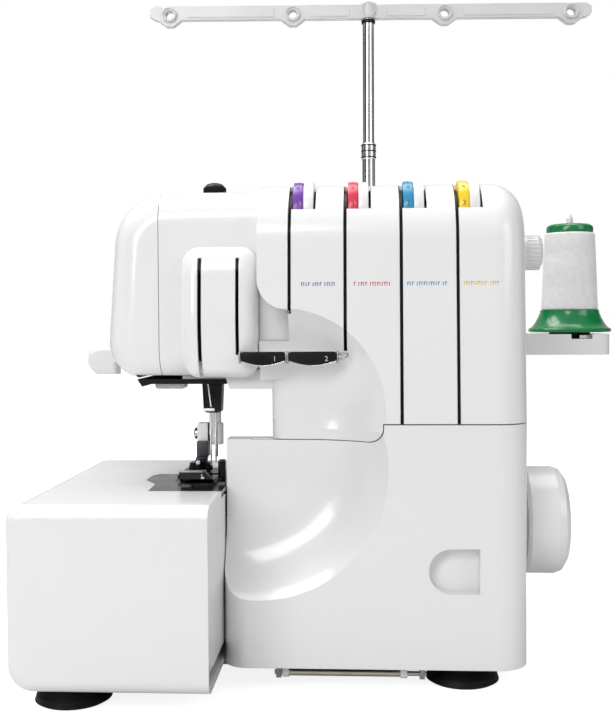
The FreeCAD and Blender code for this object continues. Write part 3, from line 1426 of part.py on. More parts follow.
under_clear = size("clamp_clearance", 1.5)
under_lip = size("under_plate_lip", 3)
under_drop = size("under_plate_lip_drop", 1.6)
node("arm_under_plate",
     cut("arm_under_plate_body", padded("arm_under_sheet", "XZ", [
        (under_left, head_bottom),
        (under_left + under_lip, head_bottom - under_thickness - under_drop),
        (under_left + 3 * under_lip, head_bottom - under_thickness),
        (under_right, head_bottom - under_thickness),
        (under_right, head_bottom),
    ], (under_front, under_rear)), [
    box("clamp_opening",
        (needle_x - clamp_width / 2 - under_clear, needle_x + clamp_width / 2 + under_clear),
        (needle_y - clamp_depth / 2 - under_clear - 2, needle_y + clamp_depth / 2 + under_clear),
        (head_bottom - beyond, head_bottom + beyond)),
    rod("presser_opening", "Z", (presser_x, presser_y), (head_bottom - beyond, head_bottom + beyond),
        presser_bar_radius + 0.6),
]))
lamp_x = under_left + size("lamp_inset", 19.5)
lamp_length = size("lamp_length", 18)
lamp_width = size("lamp_width", 12)
lamp_drop = size("lamp_drop", 3.2)
lamp_low = head_bottom - under_thickness - lamp_drop
node("sewing_lamp", rounded(padded("lamp_glass", "XY", [
    (lamp_x - lamp_length / 2, under_front + 4),
    (lamp_x + lamp_length / 2, under_front + 4),
    (lamp_x + lamp_length / 2, under_front + 4 + lamp_width),
    (lamp_x - lamp_length / 2, under_front + 4 + lamp_width),
], (lamp_low, head_bottom - under_thickness)), size("lamp_edge_radius", 1.5), [{"z": lamp_low.value}]))

# Main shaft, bushes, pulley and handwheel

wheel_gap = size("handwheel_gap", 1.5)
wheel_radius = size("handwheel_radius", 33.5)
wheel_width = size("handwheel_width", 29)
wheel_start = body_right + wheel_gap
wheel_end = wheel_start + wheel_width
shaft_end = wheel_start + size("shaft_in_wheel", 16)
node("main_shaft", rod("drive_shaft", "X", (shaft_y, shaft_z), (frame_left - 4, shaft_end), shaft_radius))
bushes = []
for side, start in (("left", frame_left - 1), ("right", frame_right - frame_wall - 1)):
    ring = rod("bush_outer_" + side, "X", (shaft_y, shaft_z), (start, start + bush_length_x), bush_radius)
    bore = rod("bush_bore_" + side, "X", (shaft_y, shaft_z), (start - 1, start + bush_length_x + 1),
               shaft_radius + running_gap)
    bushes.append(cut("bush_" + side, ring, [bore]))
node("shaft_bushes", group("bush_pair", bushes))
pulley_start = motor_face + motor_plate + size("pulley_gap", 3)
pulley_width = size("pulley_width", 10)
pulley_end = pulley_start + pulley_width
pulley_radius = size("main_pulley_radius", 26)
motor_pulley_radius = size("motor_pulley_radius", 9)
node("main_pulley", turned("drive_pulley", "X", (shaft_y, shaft_z), [
    (shaft_radius, pulley_start - 1),
    (pulley_radius + 2.5, pulley_start - 1),
    (pulley_radius + 2.5, pulley_start),
    (pulley_radius, pulley_start),
    (pulley_radius, pulley_end),
    (pulley_radius + 2.5, pulley_end),
    (pulley_radius + 2.5, pulley_end + 1),
    (shaft_radius, pulley_end + 1),
]))
node("handwheel", turned("balance_wheel", "X", (shaft_y, shaft_z), [
    (shaft_radius, wheel_start),
    (wheel_radius - 9, wheel_start),
    (wheel_radius - 8, wheel_start + 3),
    (wheel_radius - 2, wheel_start + 3),
    (wheel_radius, wheel_start + 5),
    (wheel_radius, wheel_end - 7),
    (wheel_radius - 1.5, wheel_end - 3),
    (wheel_radius - 6, wheel_end),
    (wheel_radius - 10, wheel_end),
    (wheel_radius - 14, wheel_end - 4),
    (0, wheel_end - 4),
    (0, shaft_end),
    (shaft_radius, shaft_end),
]))

# Motor, its pulley and the drive belt

motor_shaft_radius = size("motor_shaft_radius", 3)
motor_bore_depth = size("motor_bore_depth", 8)
node("drive_motor", turned("motor_can", "X", (motor_y, motor_z), [
    (0, motor_face - motor_length),
    (motor_radius * 0.5, motor_face - motor_length),
    (motor_radius * 0.55, motor_face - motor_length + 5),
    (motor_radius - 2, motor_face - motor_length + 5),
    (motor_radius - 1, motor_face - motor_length + 7),
    (motor_radius - 1, motor_face),
    (motor_shaft_radius + running_gap, motor_face),
    (motor_shaft_radius + running_gap, motor_face - motor_bore_depth),
    (0, motor_face - motor_bore_depth),
]))
node("motor_pulley", turned("motor_rotor", "X", (motor_y, motor_z), [
    (0, motor_face - motor_bore_depth + 0.4),
    (motor_shaft_radius, motor_face - motor_bore_depth + 0.4),
    (motor_shaft_radius, pulley_start - 1),
    (motor_pulley_radius + 2, pulley_start - 1),
    (motor_pulley_radius + 2, pulley_start),
    (motor_pulley_radius, pulley_start),
    (motor_pulley_radius, pulley_end),
    (motor_pulley_radius + 2, pulley_end),
    (motor_pulley_radius + 2, pulley_end + 1),
    (0, pulley_end + 1),
]))


def belt_form(name, reach, span):
    # Loop outline around both pulleys: two arcs joined by two tangent runs.
    body = doc.addObject("PartDesign::Body", name)
    sketch = body.newObject("Sketcher::SketchObject", name + "_outline")
    sketch.AttachmentSupport = [(origin_plane(body, "YZ_Plane"), "")]
    sketch.MapMode = "FlatFace"
    bind(sketch, "AttachmentOffset.Base.z", span[0])
    big = pulley_radius + reach
    small = motor_pulley_radius + reach
    centre = Vector(shaft_y.value, shaft_z.value, 0)
    other = Vector(motor_y.value, motor_z.value, 0)
    line = other - centre
    heading = math.atan2(line.y, line.x)
    open_angle = math.acos((big.value - small.value) / line.Length)
    circles = []
    for middle, radius, start, end in (
        (centre, big.value, heading + open_angle, heading - open_angle + 2 * math.pi),
        (other, small.value, heading - open_angle, heading + open_angle),
    ):
        circle = Part.Circle(middle, Vector(0, 0, 1), radius)
        circles.append(Part.ArcOfCircle(circle, start, end))
    sketch.addGeometry(circles, False)
    sketch.addGeometry(Part.LineSegment(circles[0].EndPoint, circles[1].StartPoint), False)
    sketch.addGeometry(Part.LineSegment(circles[1].EndPoint, circles[0].StartPoint), False)
    for first, first_end, second, second_end in ((0, 2, 2, 1), (2, 2, 1, 1), (1, 2, 3, 1), (3, 2, 0, 1)):
        sketch.addConstraint(Sketcher.Constraint("Tangent", first, first_end, second, second_end))
    for index, radius, y, z in ((0, big, shaft_y, shaft_z), (1, small, motor_y, motor_z)):
        row = sketch.addConstraint(Sketcher.Constraint("Radius", index, radius.value))
        sketch.setExpression(f"Constraints[{row}]", radius.formula)
        for kind, length in (("DistanceX", y), ("DistanceY", z)):
            row = sketch.addConstraint(Sketcher.Constraint(kind, -1, 1, index, 3, length.value))
            sketch.setExpression(f"Constraints[{row}]", length.formula)
    pad = body.newObject("PartDesign::Pad", name + "_pad")
    pad.Profile = sketch
    bind(pad, "Length", as_size(span[1]) - span[0])
    return body


belt_gap = size("belt_gap", 0.3)
belt_thickness = size("belt_thickness", 1.8)
belt_span = (pulley_start + 0.8, pulley_end - 0.8)
node("drive_belt", cut("belt_loop", belt_form("belt_outside", belt_gap + belt_thickness, belt_span),
                       [belt_form("belt_inside", belt_gap, (pulley_start, pulley_end))]))

# Loopers on their pivots, and the knives

lower_looper_y = needle_y + size("lower_looper_back", 1.5)
upper_looper_y = needle_y - size("upper_looper_front", 7.5)
looper_thickness = size("looper_thickness", 2.7)
looper_hub_radius = size("looper_hub_radius", 8)
lower_tip_x = needle_x - size("lower_tip_reach", 5.5)
lower_tip_z = table_top - size("lower_tip_drop", 15.5)
upper_tip_x = needle_x + size("upper_tip_reach", 8.5)
upper_tip_z = table_top - size("upper_tip_drop", 7)
pivots = [
    rod("lower_looper_pivot", "Y", (looper_x, lower_pivot_z),
        (lower_looper_y - 1, pivot_boss_front + pivot_boss_depth),
        pivot_radius),
    rod("upper_looper_pivot", "Y", (looper_x, upper_pivot_z),
        (upper_looper_y - 1, pivot_boss_front + pivot_boss_depth),
        pivot_radius),
]
node("looper_pivots", group("looper_pivot_pair", pivots))


def looper(name, pivot_z, tip_x, tip_z, y):
    span = (y, y + looper_thickness)
    arm = padded(name + "_arm", "XZ", [
        (looper_x - 4, pivot_z + 4),
        (looper_x + 4, pivot_z + 6),
        (tip_x + 14, tip_z - 8),
        (tip_x + 9, tip_z),
        (tip_x, tip_z),
        (tip_x + 5, tip_z - 10),
    ], span)
    hub = rod(name + "_hub", "Y", (looper_x, pivot_z), span, looper_hub_radius)
    bore = rod(name + "_bore", "Y", (looper_x, pivot_z), (y - 5, y + looper_thickness + 5),
               pivot_radius + running_gap)
    return cut(name, fuse(name + "_blank", [arm, hub]), [bore])


node("lower_looper", looper("lower_looper_hook", lower_pivot_z, lower_tip_x, lower_tip_z, lower_looper_y))
node("upper_looper", looper("upper_looper_hook", upper_pivot_z, upper_tip_x, upper_tip_z, upper_looper_y))
knife_top = table_top + size("knife_rise", 14.5)
knife_low = guide_block_low + size("knife_base_rise", 4)
node("upper_knife", padded("upper_blade", "YZ", [
    (knife_y - knife_width / 2, knife_low),
    (knife_y + knife_width / 2, knife_low),
    (knife_y + knife_width / 2, knife_top),
    (knife_y - knife_width / 2, knife_top - 3),
], (knife_x - knife_thickness / 2, knife_x + knife_thickness / 2)))
low_knife_x = knife_x - knife_thickness / 2 - knife_gap
node("lower_knife",
     box("lower_blade", (low_knife_x - low_knife_thickness, low_knife_x), (knife_y - knife_width / 2,
                        knife_y + knife_width / 2), (guide_block_high, table_top)))

# Stitch length knob, mains inlet and switch on the right side

length_knob_radius = size("length_knob_radius", 10.5)
length_knob_width = size("length_knob_width", 15)
length_knob_start = body_right + knob_gap
node("stitch_length_knob", turned("length_knob", "X", (knob_y, knob_z), [
    (0, body_right - 9),
    (knob_stem_radius, body_right - 9),
    (knob_stem_radius, length_knob_start),
    (length_knob_radius, length_knob_start),
    (length_knob_radius, length_knob_start + length_knob_width - 3),
    (length_knob_radius - 3, length_knob_start + length_knob_width),
    (0, length_knob_start + length_knob_width),
]))
flange = size("inlet_flange", 2)
inlet_block = box("inlet_block", (body_right - inlet_depth, body_right),
                  (panel_y - inlet_width / 2, panel_y + inlet_width / 2),
                  (inlet_z - inlet_height / 2, inlet_z + inlet_height / 2))
inlet_flange = box("inlet_flange_plate", (body_right, body_right + 1.4), (panel_y - inlet_width / 2 - flange,
                   panel_y + inlet_width / 2 + flange),
                   (inlet_z - inlet_height / 2 - flange, inlet_z + inlet_height / 2 + flange))
inlet_room = box("inlet_room", (body_right - 15, body_right + 5),
                 (panel_y - inlet_width / 2 + 2, panel_y + inlet_width / 2 - 2),
                 (inlet_z - inlet_height / 2 + 2, inlet_z + inlet_height / 2 - 2))
contacts = []
for index in range(3):
    contact_y = panel_y + (index - 1) * inlet_width * 0.26
    contacts.append(box(f"inlet_contact_{index}", (body_right - 16, body_right - 3),
                        (contact_y - 0.9, contact_y + 0.9),
                        (inlet_z - 2.5, inlet_z + 2.5)))
node("power_inlet", fuse("inlet_body", [
    cut("inlet_shell", fuse("inlet_blank", [inlet_block, inlet_flange]), [inlet_room]),
] + contacts))
rocker_x = body_right - size("rocker_axis_depth", 6)
rocker_clear = size("rocker_clearance", 0.8)
switch_frame = box("switch_frame", (body_right - switch_depth, body_right), (panel_y - switch_width / 2,
                   panel_y + switch_width / 2), (switch_z - switch_height / 2, switch_z + switch_height / 2))
switch_flange = box("switch_flange", (body_right, body_right + 1.2), (panel_y - switch_width / 2 - flange,
                    panel_y + switch_width / 2 + flange), (switch_z - switch_height / 2 - flange,
                    switch_z + switch_height / 2 + flange))
switch_room = box("switch_room", (body_right - switch_depth + 2, body_right + 5),
                  (panel_y - switch_width / 2 + 2,
                  panel_y + switch_width / 2 - 2),
                  (switch_z - switch_height / 2 + 2, switch_z + switch_height / 2 - 2))
rocker_pin_radius = size("rocker_pin_radius", 1.2)
rocker_bore = rod("rocker_bore", "Z", (rocker_x, panel_y), (switch_z - switch_height / 2 + 0.5,
                  switch_z + switch_height / 2 - 0.5), rocker_pin_radius + running_gap)
node("switch_body",
     cut("switch_body_shell", fuse("switch_blank", [switch_frame, switch_flange]),
         [switch_room, rocker_bore]))
rocker_half = switch_width / 2 - 2 - rocker_clear
rocker_low = switch_z - switch_height / 2 + 2 + 0.4
rocker_high = switch_z + switch_height / 2 - 2 - 0.4
rocker_block = padded("rocker_block", "XY", [
    (rocker_x - 2.5, panel_y - rocker_half * 0.6),
    (rocker_x + 6.5, panel_y - rocker_half),
    (rocker_x + 8.5, panel_y - rocker_half),
    (rocker_x + 7, panel_y),
    (rocker_x + 8.5, panel_y + rocker_half),
    (rocker_x + 6.5, panel_y + rocker_half),
    (rocker_x - 2.5, panel_y + rocker_half * 0.6),
], (rocker_low, rocker_high))
rocker_pin = rod("rocker_pin", "Z", (rocker_x, panel_y), (switch_z - switch_height / 2 + 0.8,
                 switch_z + switch_height / 2 - 0.8), rocker_pin_radius)
node("power_switch", fuse("rocker", [rocker_block, rocker_pin]))

# Spool stand: tray, pins, rests and the thread cone

pole_x = size("pole_offset", 9.5)
tray_reach = size("tray_reach", 170.5)
outer_pin_offset = size("outer_pin_offset", 149.5)
inner_pin_offset = size("inner_pin_offset", 56.5)
spool_y = overall_depth / 2 - size("pin_rear_inset", 35)
tray_left = pole_x - tray_reach
tray_right = pole_x + tray_reach
tray_rear = overall_depth / 2
tray_floor_low = tray_low + size("tray_floor_rise", 8)
tray_floor_high = tray_high - size("tray_lip", 3.5)
tray_corner = size("tray_corner_radius", 10)
notch_width = size("tray_notch_width", 15)
pin_radius = size("pin_radius", 2.4)
pin_shank_radius = size("pin_shank_radius", 2.8)
pin_top = base_top + size("pin_height", 280)
boss_radius = size("pole_boss_radius", 9)
tube_radius = size("tube_radius", 4.8)
rod_upper_radius = size("pole_rod_radius", 4.2)
pin_xs = [pole_x - outer_pin_offset, pole_x - inner_pin_offset, pole_x + inner_pin_offset,
          pole_x + outer_pin_offset]


def tray_form(name, inset, z_span):
    left = tray_left + inset
    right = tray_right - inset
    front = tray_front + inset
    rear = tray_rear - inset
    body = padded(name, "XY", [(left, front), (right, front), (right, rear), (left, rear)], z_span)
    corners = []
    for x in (left, right):
        for y in (front, rear):
            corners.append({"x": x.value, "y": y.value})
    return rounded(body, tray_corner - inset, corners)


tray_blank = cut("tray_dish", tray_form("tray_block", as_size(0), (tray_low, tray_high)), [
    tray_form("tray_upper_room", tray_wall, (tray_floor_high, tray_high + 5)),
    tray_form("tray_lower_room", tray_wall, (tray_low - 5, tray_floor_low)),
])
tray_boss = rod("pole_boss", "Z", (pole_x, spool_y), (tray_low, tray_high + 5), boss_radius)
tray_tools = [rod("pole_boss_bore", "Z", (pole_x, spool_y), (tray_low + 3, tray_high + 10), tube_radius)]
for index in range(4):
    tray_tools.append(rod(f"pin_bore_{index + 1}", "Z", (pin_xs[index], spool_y),
                          (tray_low - 1, tray_high), pin_shank_radius))
    tray_tools.append(box(f"tray_notch_{index + 1}",
                          (pin_xs[index] - notch_width / 2, pin_xs[index] + notch_width / 2),
                          (tray_front - 5, tray_front + tray_wall + 1), (tray_floor_high, tray_high + 5)))
for index, (x, z) in enumerate(tray_screws):
    tray_tools.append(rod(f"tray_screw_bore_{index}", "Y", (x, z), (tray_front - 5, tray_front + 6),
                          screw_radius + screw_clear))
node("spool_tray", cut("spool_tray_body", fuse("spool_tray_blank", [tray_blank, tray_boss]), tray_tools))

rest_radius = size("rest_radius", 15)
rest_hub_radius = size("rest_hub_radius", 7.4)
rest_height = size("rest_height", 4.4)
rest_hub_height = size("rest_hub_height", 2.4)
rest_gap = size("rest_gap", 0.1)
rest_top = tray_floor_high + rest_height
pins = []
rests = []
for index in range(4):
    pins.append(turned(f"spool_pin_{index + 1}", "Z", (pin_xs[index], spool_y), [
        (0, tray_floor_low),
        (pin_shank_radius, tray_floor_low),
        (pin_shank_radius, rest_top),
        (pin_radius, rest_top),
        (pin_radius, pin_top - 3),
        (pin_radius * 0.55, pin_top),
        (0, pin_top),
    ]))
    rests.append(turned(f"spool_rest_{index + 1}", "Z", (pin_xs[index], spool_y), [
        (pin_shank_radius + rest_gap, tray_floor_high),
        (rest_hub_radius, tray_floor_high),
        (rest_hub_radius, tray_floor_high + rest_hub_height),
        (rest_radius, tray_floor_high + rest_hub_height),
        (rest_radius, rest_top),
        (pin_shank_radius + rest_gap, rest_top),
    ]))
node("spool_pins", group("spool_pin_set", pins))
node("spool_rests", group("spool_rest_set", rests))

cone_x = pin_xs[3]
cone_low = rest_top + size("cone_gap", 0.2)
flange_radius = size("cone_flange_radius", 30)
flange_rim = size("cone_flange_rim", 2.8)
flange_height = size("cone_flange_height", 16.5)
core_radius = size("cone_core_radius", 9)
thread_low_radius = size("thread_low_radius", 20.4)
thread_high_radius = size("thread_high_radius", 18)
thread_height = size("thread_height", 57)
cap_radius = size("cone_cap_radius", 16)
cap_height = size("cone_cap_height", 7.2)
cone_bore = pin_radius + size("cone_bore_gap", 0.6)
thread_low = cone_low + flange_height
thread_high = thread_low + thread_height
node("cone_core", turned("cone_reel", "Z", (cone_x, spool_y), [
    (cone_bore, cone_low),
    (flange_radius, cone_low),
    (flange_radius, cone_low + flange_rim),
    (thread_low_radius + 0.4, thread_low),
    (core_radius, thread_low),
    (core_radius, thread_high),
    (cap_radius, thread_high),
    (cap_radius, thread_high + cap_height * 0.7),
    (cap_radius - 3, thread_high + cap_height),
    (cone_bore, thread_high + cap_height),
]))
node("cone_thread", turned("thread_package", "Z", (cone_x, spool_y), [
    (core_radius, thread_low),
    (thread_low_radius, thread_low),
    (thread_low_radius + 0.3, thread_low + thread_height * 0.25),
    (thread_high_radius, thread_high),
    (core_radius, thread_high),
]))

# Telescopic pole and thread guide bar

tube_top = base_top + size("tube_top_height", 323)
collar_radius_top = size("pole_collar_radius", 5.4)
pole_collar_height = size("pole_collar_height", 12)
pole_overlap = size("pole_overlap", 20)
bar_low = base_top + size("bar_height", 427.5)
bar_height = size("bar_thickness_height", 10)
bar_depth = size("bar_depth", 6)
bar_reach = size("bar_reach", 164.5)
bar_slope = size("bar_slope", 0.012)
eye_radius = size("eye_radius", 5.2)
eye_proud = size("eye_proud", 0.6)
eye_hole_radius = size("eye_hole_radius", 3.2)
eye_reach = size("eye_lobe_reach", 10.5)
eye_depth = size("eye_lobe_depth", 4.8)
eye_nose = size("eye_lobe_nose", 2.6)
socket_radius = size("socket_radius", 5.8)
tube_bore = rod_upper_radius + 0.1
node("pole_tube", turned("lower_tube", "Z", (pole_x, spool_y), [
    (tube_bore, tray_low + 3),
    (tube_radius, tray_low + 3),
    (tube_radius, tube_top),
    (collar_radius_top, tube_top + 0.6),
    (collar_radius_top, tube_top + pole_collar_height - 0.8),
    (collar_radius_top - 0.8, tube_top + pole_collar_height),
    (tube_bore, tube_top + pole_collar_height),
]))
node("pole_rod",
     rod("upper_tube", "Z", (pole_x, spool_y), (tube_top - pole_overlap, bar_low + bar_height - 3),
         rod_upper_radius))
bar_middle = bar_low + bar_height / 2
bar_end = size("bar_end_taper", 4)
bar_drop = bar_slope * bar_reach
bar_body = padded("bar_body", "XZ", [
    (pole_x - bar_reach, bar_middle + bar_drop - 2.5),
    (pole_x - bar_reach + bar_end, bar_low + bar_drop),
    (pole_x + bar_reach - bar_end, bar_low - bar_drop),
    (pole_x + bar_reach, bar_middle - bar_drop - 2.5),
    (pole_x + bar_reach, bar_middle - bar_drop + 2.5),
    (pole_x + bar_reach - bar_end, bar_low - bar_drop + bar_height),
    (pole_x - bar_reach + bar_end, bar_low + bar_drop + bar_height),
    (pole_x - bar_reach, bar_middle + bar_drop + 2.5),
], (spool_y - bar_depth / 2, spool_y + bar_depth / 2))
bar_parts = [
    bar_body,
    rod("bar_socket", "Z", (pole_x, spool_y), (bar_low, bar_low + bar_height + 1), socket_radius),
]
eye_drop = size("eye_drop", 1.4)
bar_tools = [rod("bar_socket_bore", "Z", (pole_x, spool_y), (bar_low - 10, bar_low + bar_height - 2.9),
                 rod_upper_radius + 0.05)]
panel_proud = size("bar_panel_proud", 0.8)
panel_edges = [pole_x - bar_reach + 4] + [pin_xs[0], pin_xs[1], pole_x, pin_xs[2], pin_xs[3]]
for index in range(4):
    x = pin_xs[index]
    low = bar_low - (x - pole_x) * bar_slope
    eye_z = low + bar_height / 2 - eye_drop
    bar_parts.append(padded(f"eye_lobe_{index + 1}", "XZ", [
        (x - eye_reach, low + 1),
        (x - eye_nose, low - eye_depth),
        (x + eye_nose, low - eye_depth),
        (x + eye_reach, low + 1),
    ], (spool_y - bar_depth / 2, spool_y + bar_depth / 2)))
    bar_parts.append(rod(f"eye_boss_{index + 1}", "Y", (x, eye_z), (spool_y - bar_depth / 2 - eye_proud,
                         spool_y + bar_depth / 2 + eye_proud), eye_radius))
    bar_tools.append(rod(f"eye_hole_{index + 1}", "Y", (x, eye_z), (spool_y - 10, spool_y + 10),
                         eye_hole_radius))
for index in range(4):
    start = panel_edges[index + 1] + 14
    end = panel_edges[index + 2] - 14
    start_low = bar_low - (start - pole_x) * bar_slope
    end_low = bar_low - (end - pole_x) * bar_slope
    bar_parts.append(padded(f"bar_panel_{index + 1}", "XZ", [
        (start, start_low + 1.5),
        (end, end_low + 1.5),
        (end, end_low + bar_height - 2.6),
        (start, start_low + bar_height - 2.6),
    ], (spool_y - bar_depth / 2 - panel_proud, spool_y)))
node("thread_bar", cut("thread_bar_body", fuse("thread_bar_blank", bar_parts), bar_tools))

doc.recompute()
for item in doc.Objects:
    if "Invalid" in item.State or "Error" in item.State:
        raise RuntimeError(f"{item.Name} did not build")
os.makedirs("parts", exist_ok=True)
for item in nodes:
    if item.Shape.isNull() or not item.Shape.isValid():
        raise RuntimeError(f"{item.Label} has no valid shape")
    item.Shape.exportStep(f"parts/{item.Label}.step")
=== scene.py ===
import math
import bmesh
import bpy
from mathutils import Matrix, Vector
from mathutils.bvhtree import BVHTree


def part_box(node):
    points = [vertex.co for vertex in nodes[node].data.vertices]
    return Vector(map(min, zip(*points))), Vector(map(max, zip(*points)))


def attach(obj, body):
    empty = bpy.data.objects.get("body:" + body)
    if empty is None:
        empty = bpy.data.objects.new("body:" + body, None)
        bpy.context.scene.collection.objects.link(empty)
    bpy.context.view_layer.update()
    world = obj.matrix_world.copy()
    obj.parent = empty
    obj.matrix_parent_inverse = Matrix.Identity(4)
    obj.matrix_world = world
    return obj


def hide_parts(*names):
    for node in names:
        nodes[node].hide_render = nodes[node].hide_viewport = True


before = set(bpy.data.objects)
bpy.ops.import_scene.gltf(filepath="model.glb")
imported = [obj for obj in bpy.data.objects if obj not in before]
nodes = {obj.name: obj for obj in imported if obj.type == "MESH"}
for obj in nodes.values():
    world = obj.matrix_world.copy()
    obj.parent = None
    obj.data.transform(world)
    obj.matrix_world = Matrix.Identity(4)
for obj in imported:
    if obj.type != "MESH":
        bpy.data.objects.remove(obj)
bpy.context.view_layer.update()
scene = bpy.context.scene
mm = 0.001
print("frame loaded:", len(nodes), "nodes")


def addNode(tree, kind, inputs=None, **settings):
    item = tree.nodes.new(kind)
    for key, value in settings.items():
        setattr(item, key, value)
    for key, value in (inputs or {}).items():
        item.inputs[key].default_value = value
    return item


def keepPiece(name, mesh, body, finish, angle=32):
    # a finished mesh becomes a piece that rides on one body
    piece = bpy.data.objects.new(name, mesh)
    scene.collection.objects.link(piece)
    mesh.polygons.foreach_set("use_smooth", [True] * len(mesh.polygons))
    mesh.set_sharp_from_angle(angle=math.radians(angle))
    mesh.materials.clear()
    mesh.materials.append(finish)
    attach(piece, body)
    return piece


def meshFrom(work, name):
    bmesh.ops.remove_doubles(work, verts=work.verts, dist=1e-6)
    bmesh.ops.recalc_face_normals(work, faces=work.faces)
    mesh = bpy.data.meshes.new(name)
    work.to_mesh(mesh)
    work.free()
    return mesh


def keepWork(name, work, body, finish):
    # the same from a mesh under work; its slot holds the named finish
    return keepPiece(name, meshFrom(work, name), body, finishes[finish])


axisTurn = {
    "x": Matrix(((0, 0, 1, 0), (1, 0, 0, 0), (0, 1, 0, 0), (0, 0, 0, 1))),
    "y": Matrix(((0, 1, 0, 0), (0, 0, 1, 0), (1, 0, 0, 0), (0, 0, 0, 1))),
    "z": Matrix.Identity(4),
}


def addTurned(work, profile, axis, centre, steps=48, hollow=False):
    # profile: (radius, along) pairs in mm from one end of the axis to the other
    # a hollow one closes on itself
    place = Matrix.Translation(Vector(centre) * mm) @ axisTurn[axis]
    rings = []
    for radius, along in profile:
        if radius < 1e-4:
            rings.append([work.verts.new(place @ Vector((0, 0, along * mm)))])
            continue
        ring = []
        for step in range(steps):
            turn = 2 * math.pi * step / steps
            point = Vector((math.cos(turn) * radius, math.sin(turn) * radius, along)) * mm
            ring.append(work.verts.new(place @ point))
        rings.append(ring)
    for low, high in zip(rings, rings[1:] + (rings[:1] if hollow else [])):
        for step in range(steps):
            after = (step + 1) % steps
            if len(low) == 1:
                work.faces.new((low[0], high[after], high[step]))
            elif len(high) == 1:
                work.faces.new((low[step], low[after], high[0]))
            else:
                work.faces.new((low[step], low[after], high[after], high[step]))
    for ring in (rings[0], rings[-1]):
        if len(ring) > 1 and not hollow:
            work.faces.new(ring)


def addSlab(work, outline, axis, start, end, bevel=0.0, segments=3):
    # a flat outline pushed along one axis; outline pairs follow the other two axes in order
    picks = {"x": (1, 2, 0), "y": (0, 2, 1), "z": (0, 1, 2)}[axis]
    fresh = bmesh.new()
    caps = []
    for along in (start, end):
        ring = []
        for u, v in outline:
            spot = [0.0, 0.0, 0.0]
            spot[picks[0]], spot[picks[1]], spot[picks[2]] = u * mm, v * mm, along * mm
            ring.append(fresh.verts.new(spot))
        caps.append(ring)
    count = len(outline)
    rims = [fresh.faces.new(caps[0]), fresh.faces.new(caps[1])]
    for step in range(count):
        after = (step + 1) % count
        fresh.faces.new((caps[0][step], caps[0][after], caps[1][after], caps[1][step]))
    bmesh.ops.recalc_face_normals(fresh, faces=fresh.faces)
    if bevel:
        edges = [edge for face in rims for edge in face.edges]
        bmesh.ops.bevel(fresh, geom=edges, offset=bevel * mm, segments=segments, profile=0.5, affect="EDGES")
    spare = bpy.data.meshes.new("spare")
    fresh.to_mesh(spare)
    fresh.free()
    work.from_mesh(spare)
    bpy.data.meshes.remove(spare)


def addBlock(work, low, high, bevel=0.0, segments=3):
    # a rounded block between two corners in mm
    fresh = bmesh.new()
    bmesh.ops.create_cube(fresh, size=1.0)
    low, high = Vector(low) * mm, Vector(high) * mm
    for vert in fresh.verts:
        vert.co = Vector([low[i] + (vert.co[i] + 0.5) * (high[i] - low[i]) for i in range(3)])
    if bevel:
        bmesh.ops.bevel(
            fresh, geom=list(fresh.edges), offset=bevel * mm, segments=segments, profile=0.5, affect="EDGES"
        )
    spare = bpy.data.meshes.new("spare")
    fresh.to_mesh(spare)
    fresh.free()
    work.from_mesh(spare)
    bpy.data.meshes.remove(spare)


def addWire(work, points, radius):
    # a round wire through points in mm, on a smooth spline
    curve = bpy.data.curves.new("wire", "CURVE")
    curve.dimensions = "3D"
    curve.bevel_depth = radius * mm
    curve.bevel_resolution = 3
    curve.use_fill_caps = True
    curve.resolution_u = 6
    spline = curve.splines.new("NURBS")
    spline.points.add(len(points) - 1)
    for slotPoint, point in zip(spline.points, points):
        slotPoint.co = (point[0] * mm, point[1] * mm, point[2] * mm, 1.0)
    spline.order_u = 3
    spline.use_endpoint_u = True
    spare = bpy.data.objects.new("wire", curve)
    scene.collection.objects.link(spare)
    mesh = bpy.data.meshes.new_from_object(spare)
    work.from_mesh(mesh)
    bpy.data.objects.remove(spare)
    bpy.data.curves.remove(curve)
    bpy.data.meshes.remove(mesh)


def boxOf(name):
    low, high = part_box(name)
    return [value / mm for value in low], [value / mm for value in high]


def growTree(name, sizes):
    # a geometry tree with named sizes: returns the tree, its input and its output
    tree = bpy.data.node_groups.new(name, "GeometryNodeTree")
    tree.interface.new_socket("Geometry", in_out="INPUT", socket_type="NodeSocketGeometry")
    for label, kind in sizes:
        tree.interface.new_socket(label, in_out="INPUT", socket_type="NodeSocket" + kind)
    tree.interface.new_socket("Geometry", in_out="OUTPUT", socket_type="NodeSocketGeometry")
    return tree, tree.nodes.new("NodeGroupInput"), tree.nodes.new("NodeGroupOutput")


def closeTree(tree, geometry, entry, leave):
    # every tree ends in real faces with one finish
    real = addNode(tree, "GeometryNodeRealizeInstances")
    paint = addNode(tree, "GeometryNodeSetMaterial")
    tree.links.new(geometry, real.inputs["Geometry"])
    tree.links.new(real.outputs["Geometry"], paint.inputs["Geometry"])
    tree.links.new(entry.outputs["Finish"], paint.inputs["Material"])
    tree.links.new(paint.outputs["Geometry"], leave.inputs["Geometry"])


def grown(tree, name, values, points=((0, 0, 0),)):
    # runs a tree on seed points in mm and gives back a plain mesh
    seed = bpy.data.meshes.new(name + "Seed")
    seed.from_pydata([Vector(point) * mm for point in points], [], [])
    holder = bpy.data.objects.new(name + "Seed", seed)
    scene.collection.objects.link(holder)
    growth = holder.modifiers.new("growth", "NODES")
    growth.node_group = tree
    for item in tree.interface.items_tree:
        if item.in_out == "INPUT" and item.name in values:
            growth[item.identifier] = values[item.name]
    graph = bpy.context.evaluated_depsgraph_get()
    mesh = bpy.data.meshes.new_from_object(holder.evaluated_get(graph), depsgraph=graph)
    mesh.name = name
    holder.modifiers.remove(growth)
    bpy.data.objects.remove(holder)
    bpy.data.meshes.remove(seed)
    return mesh


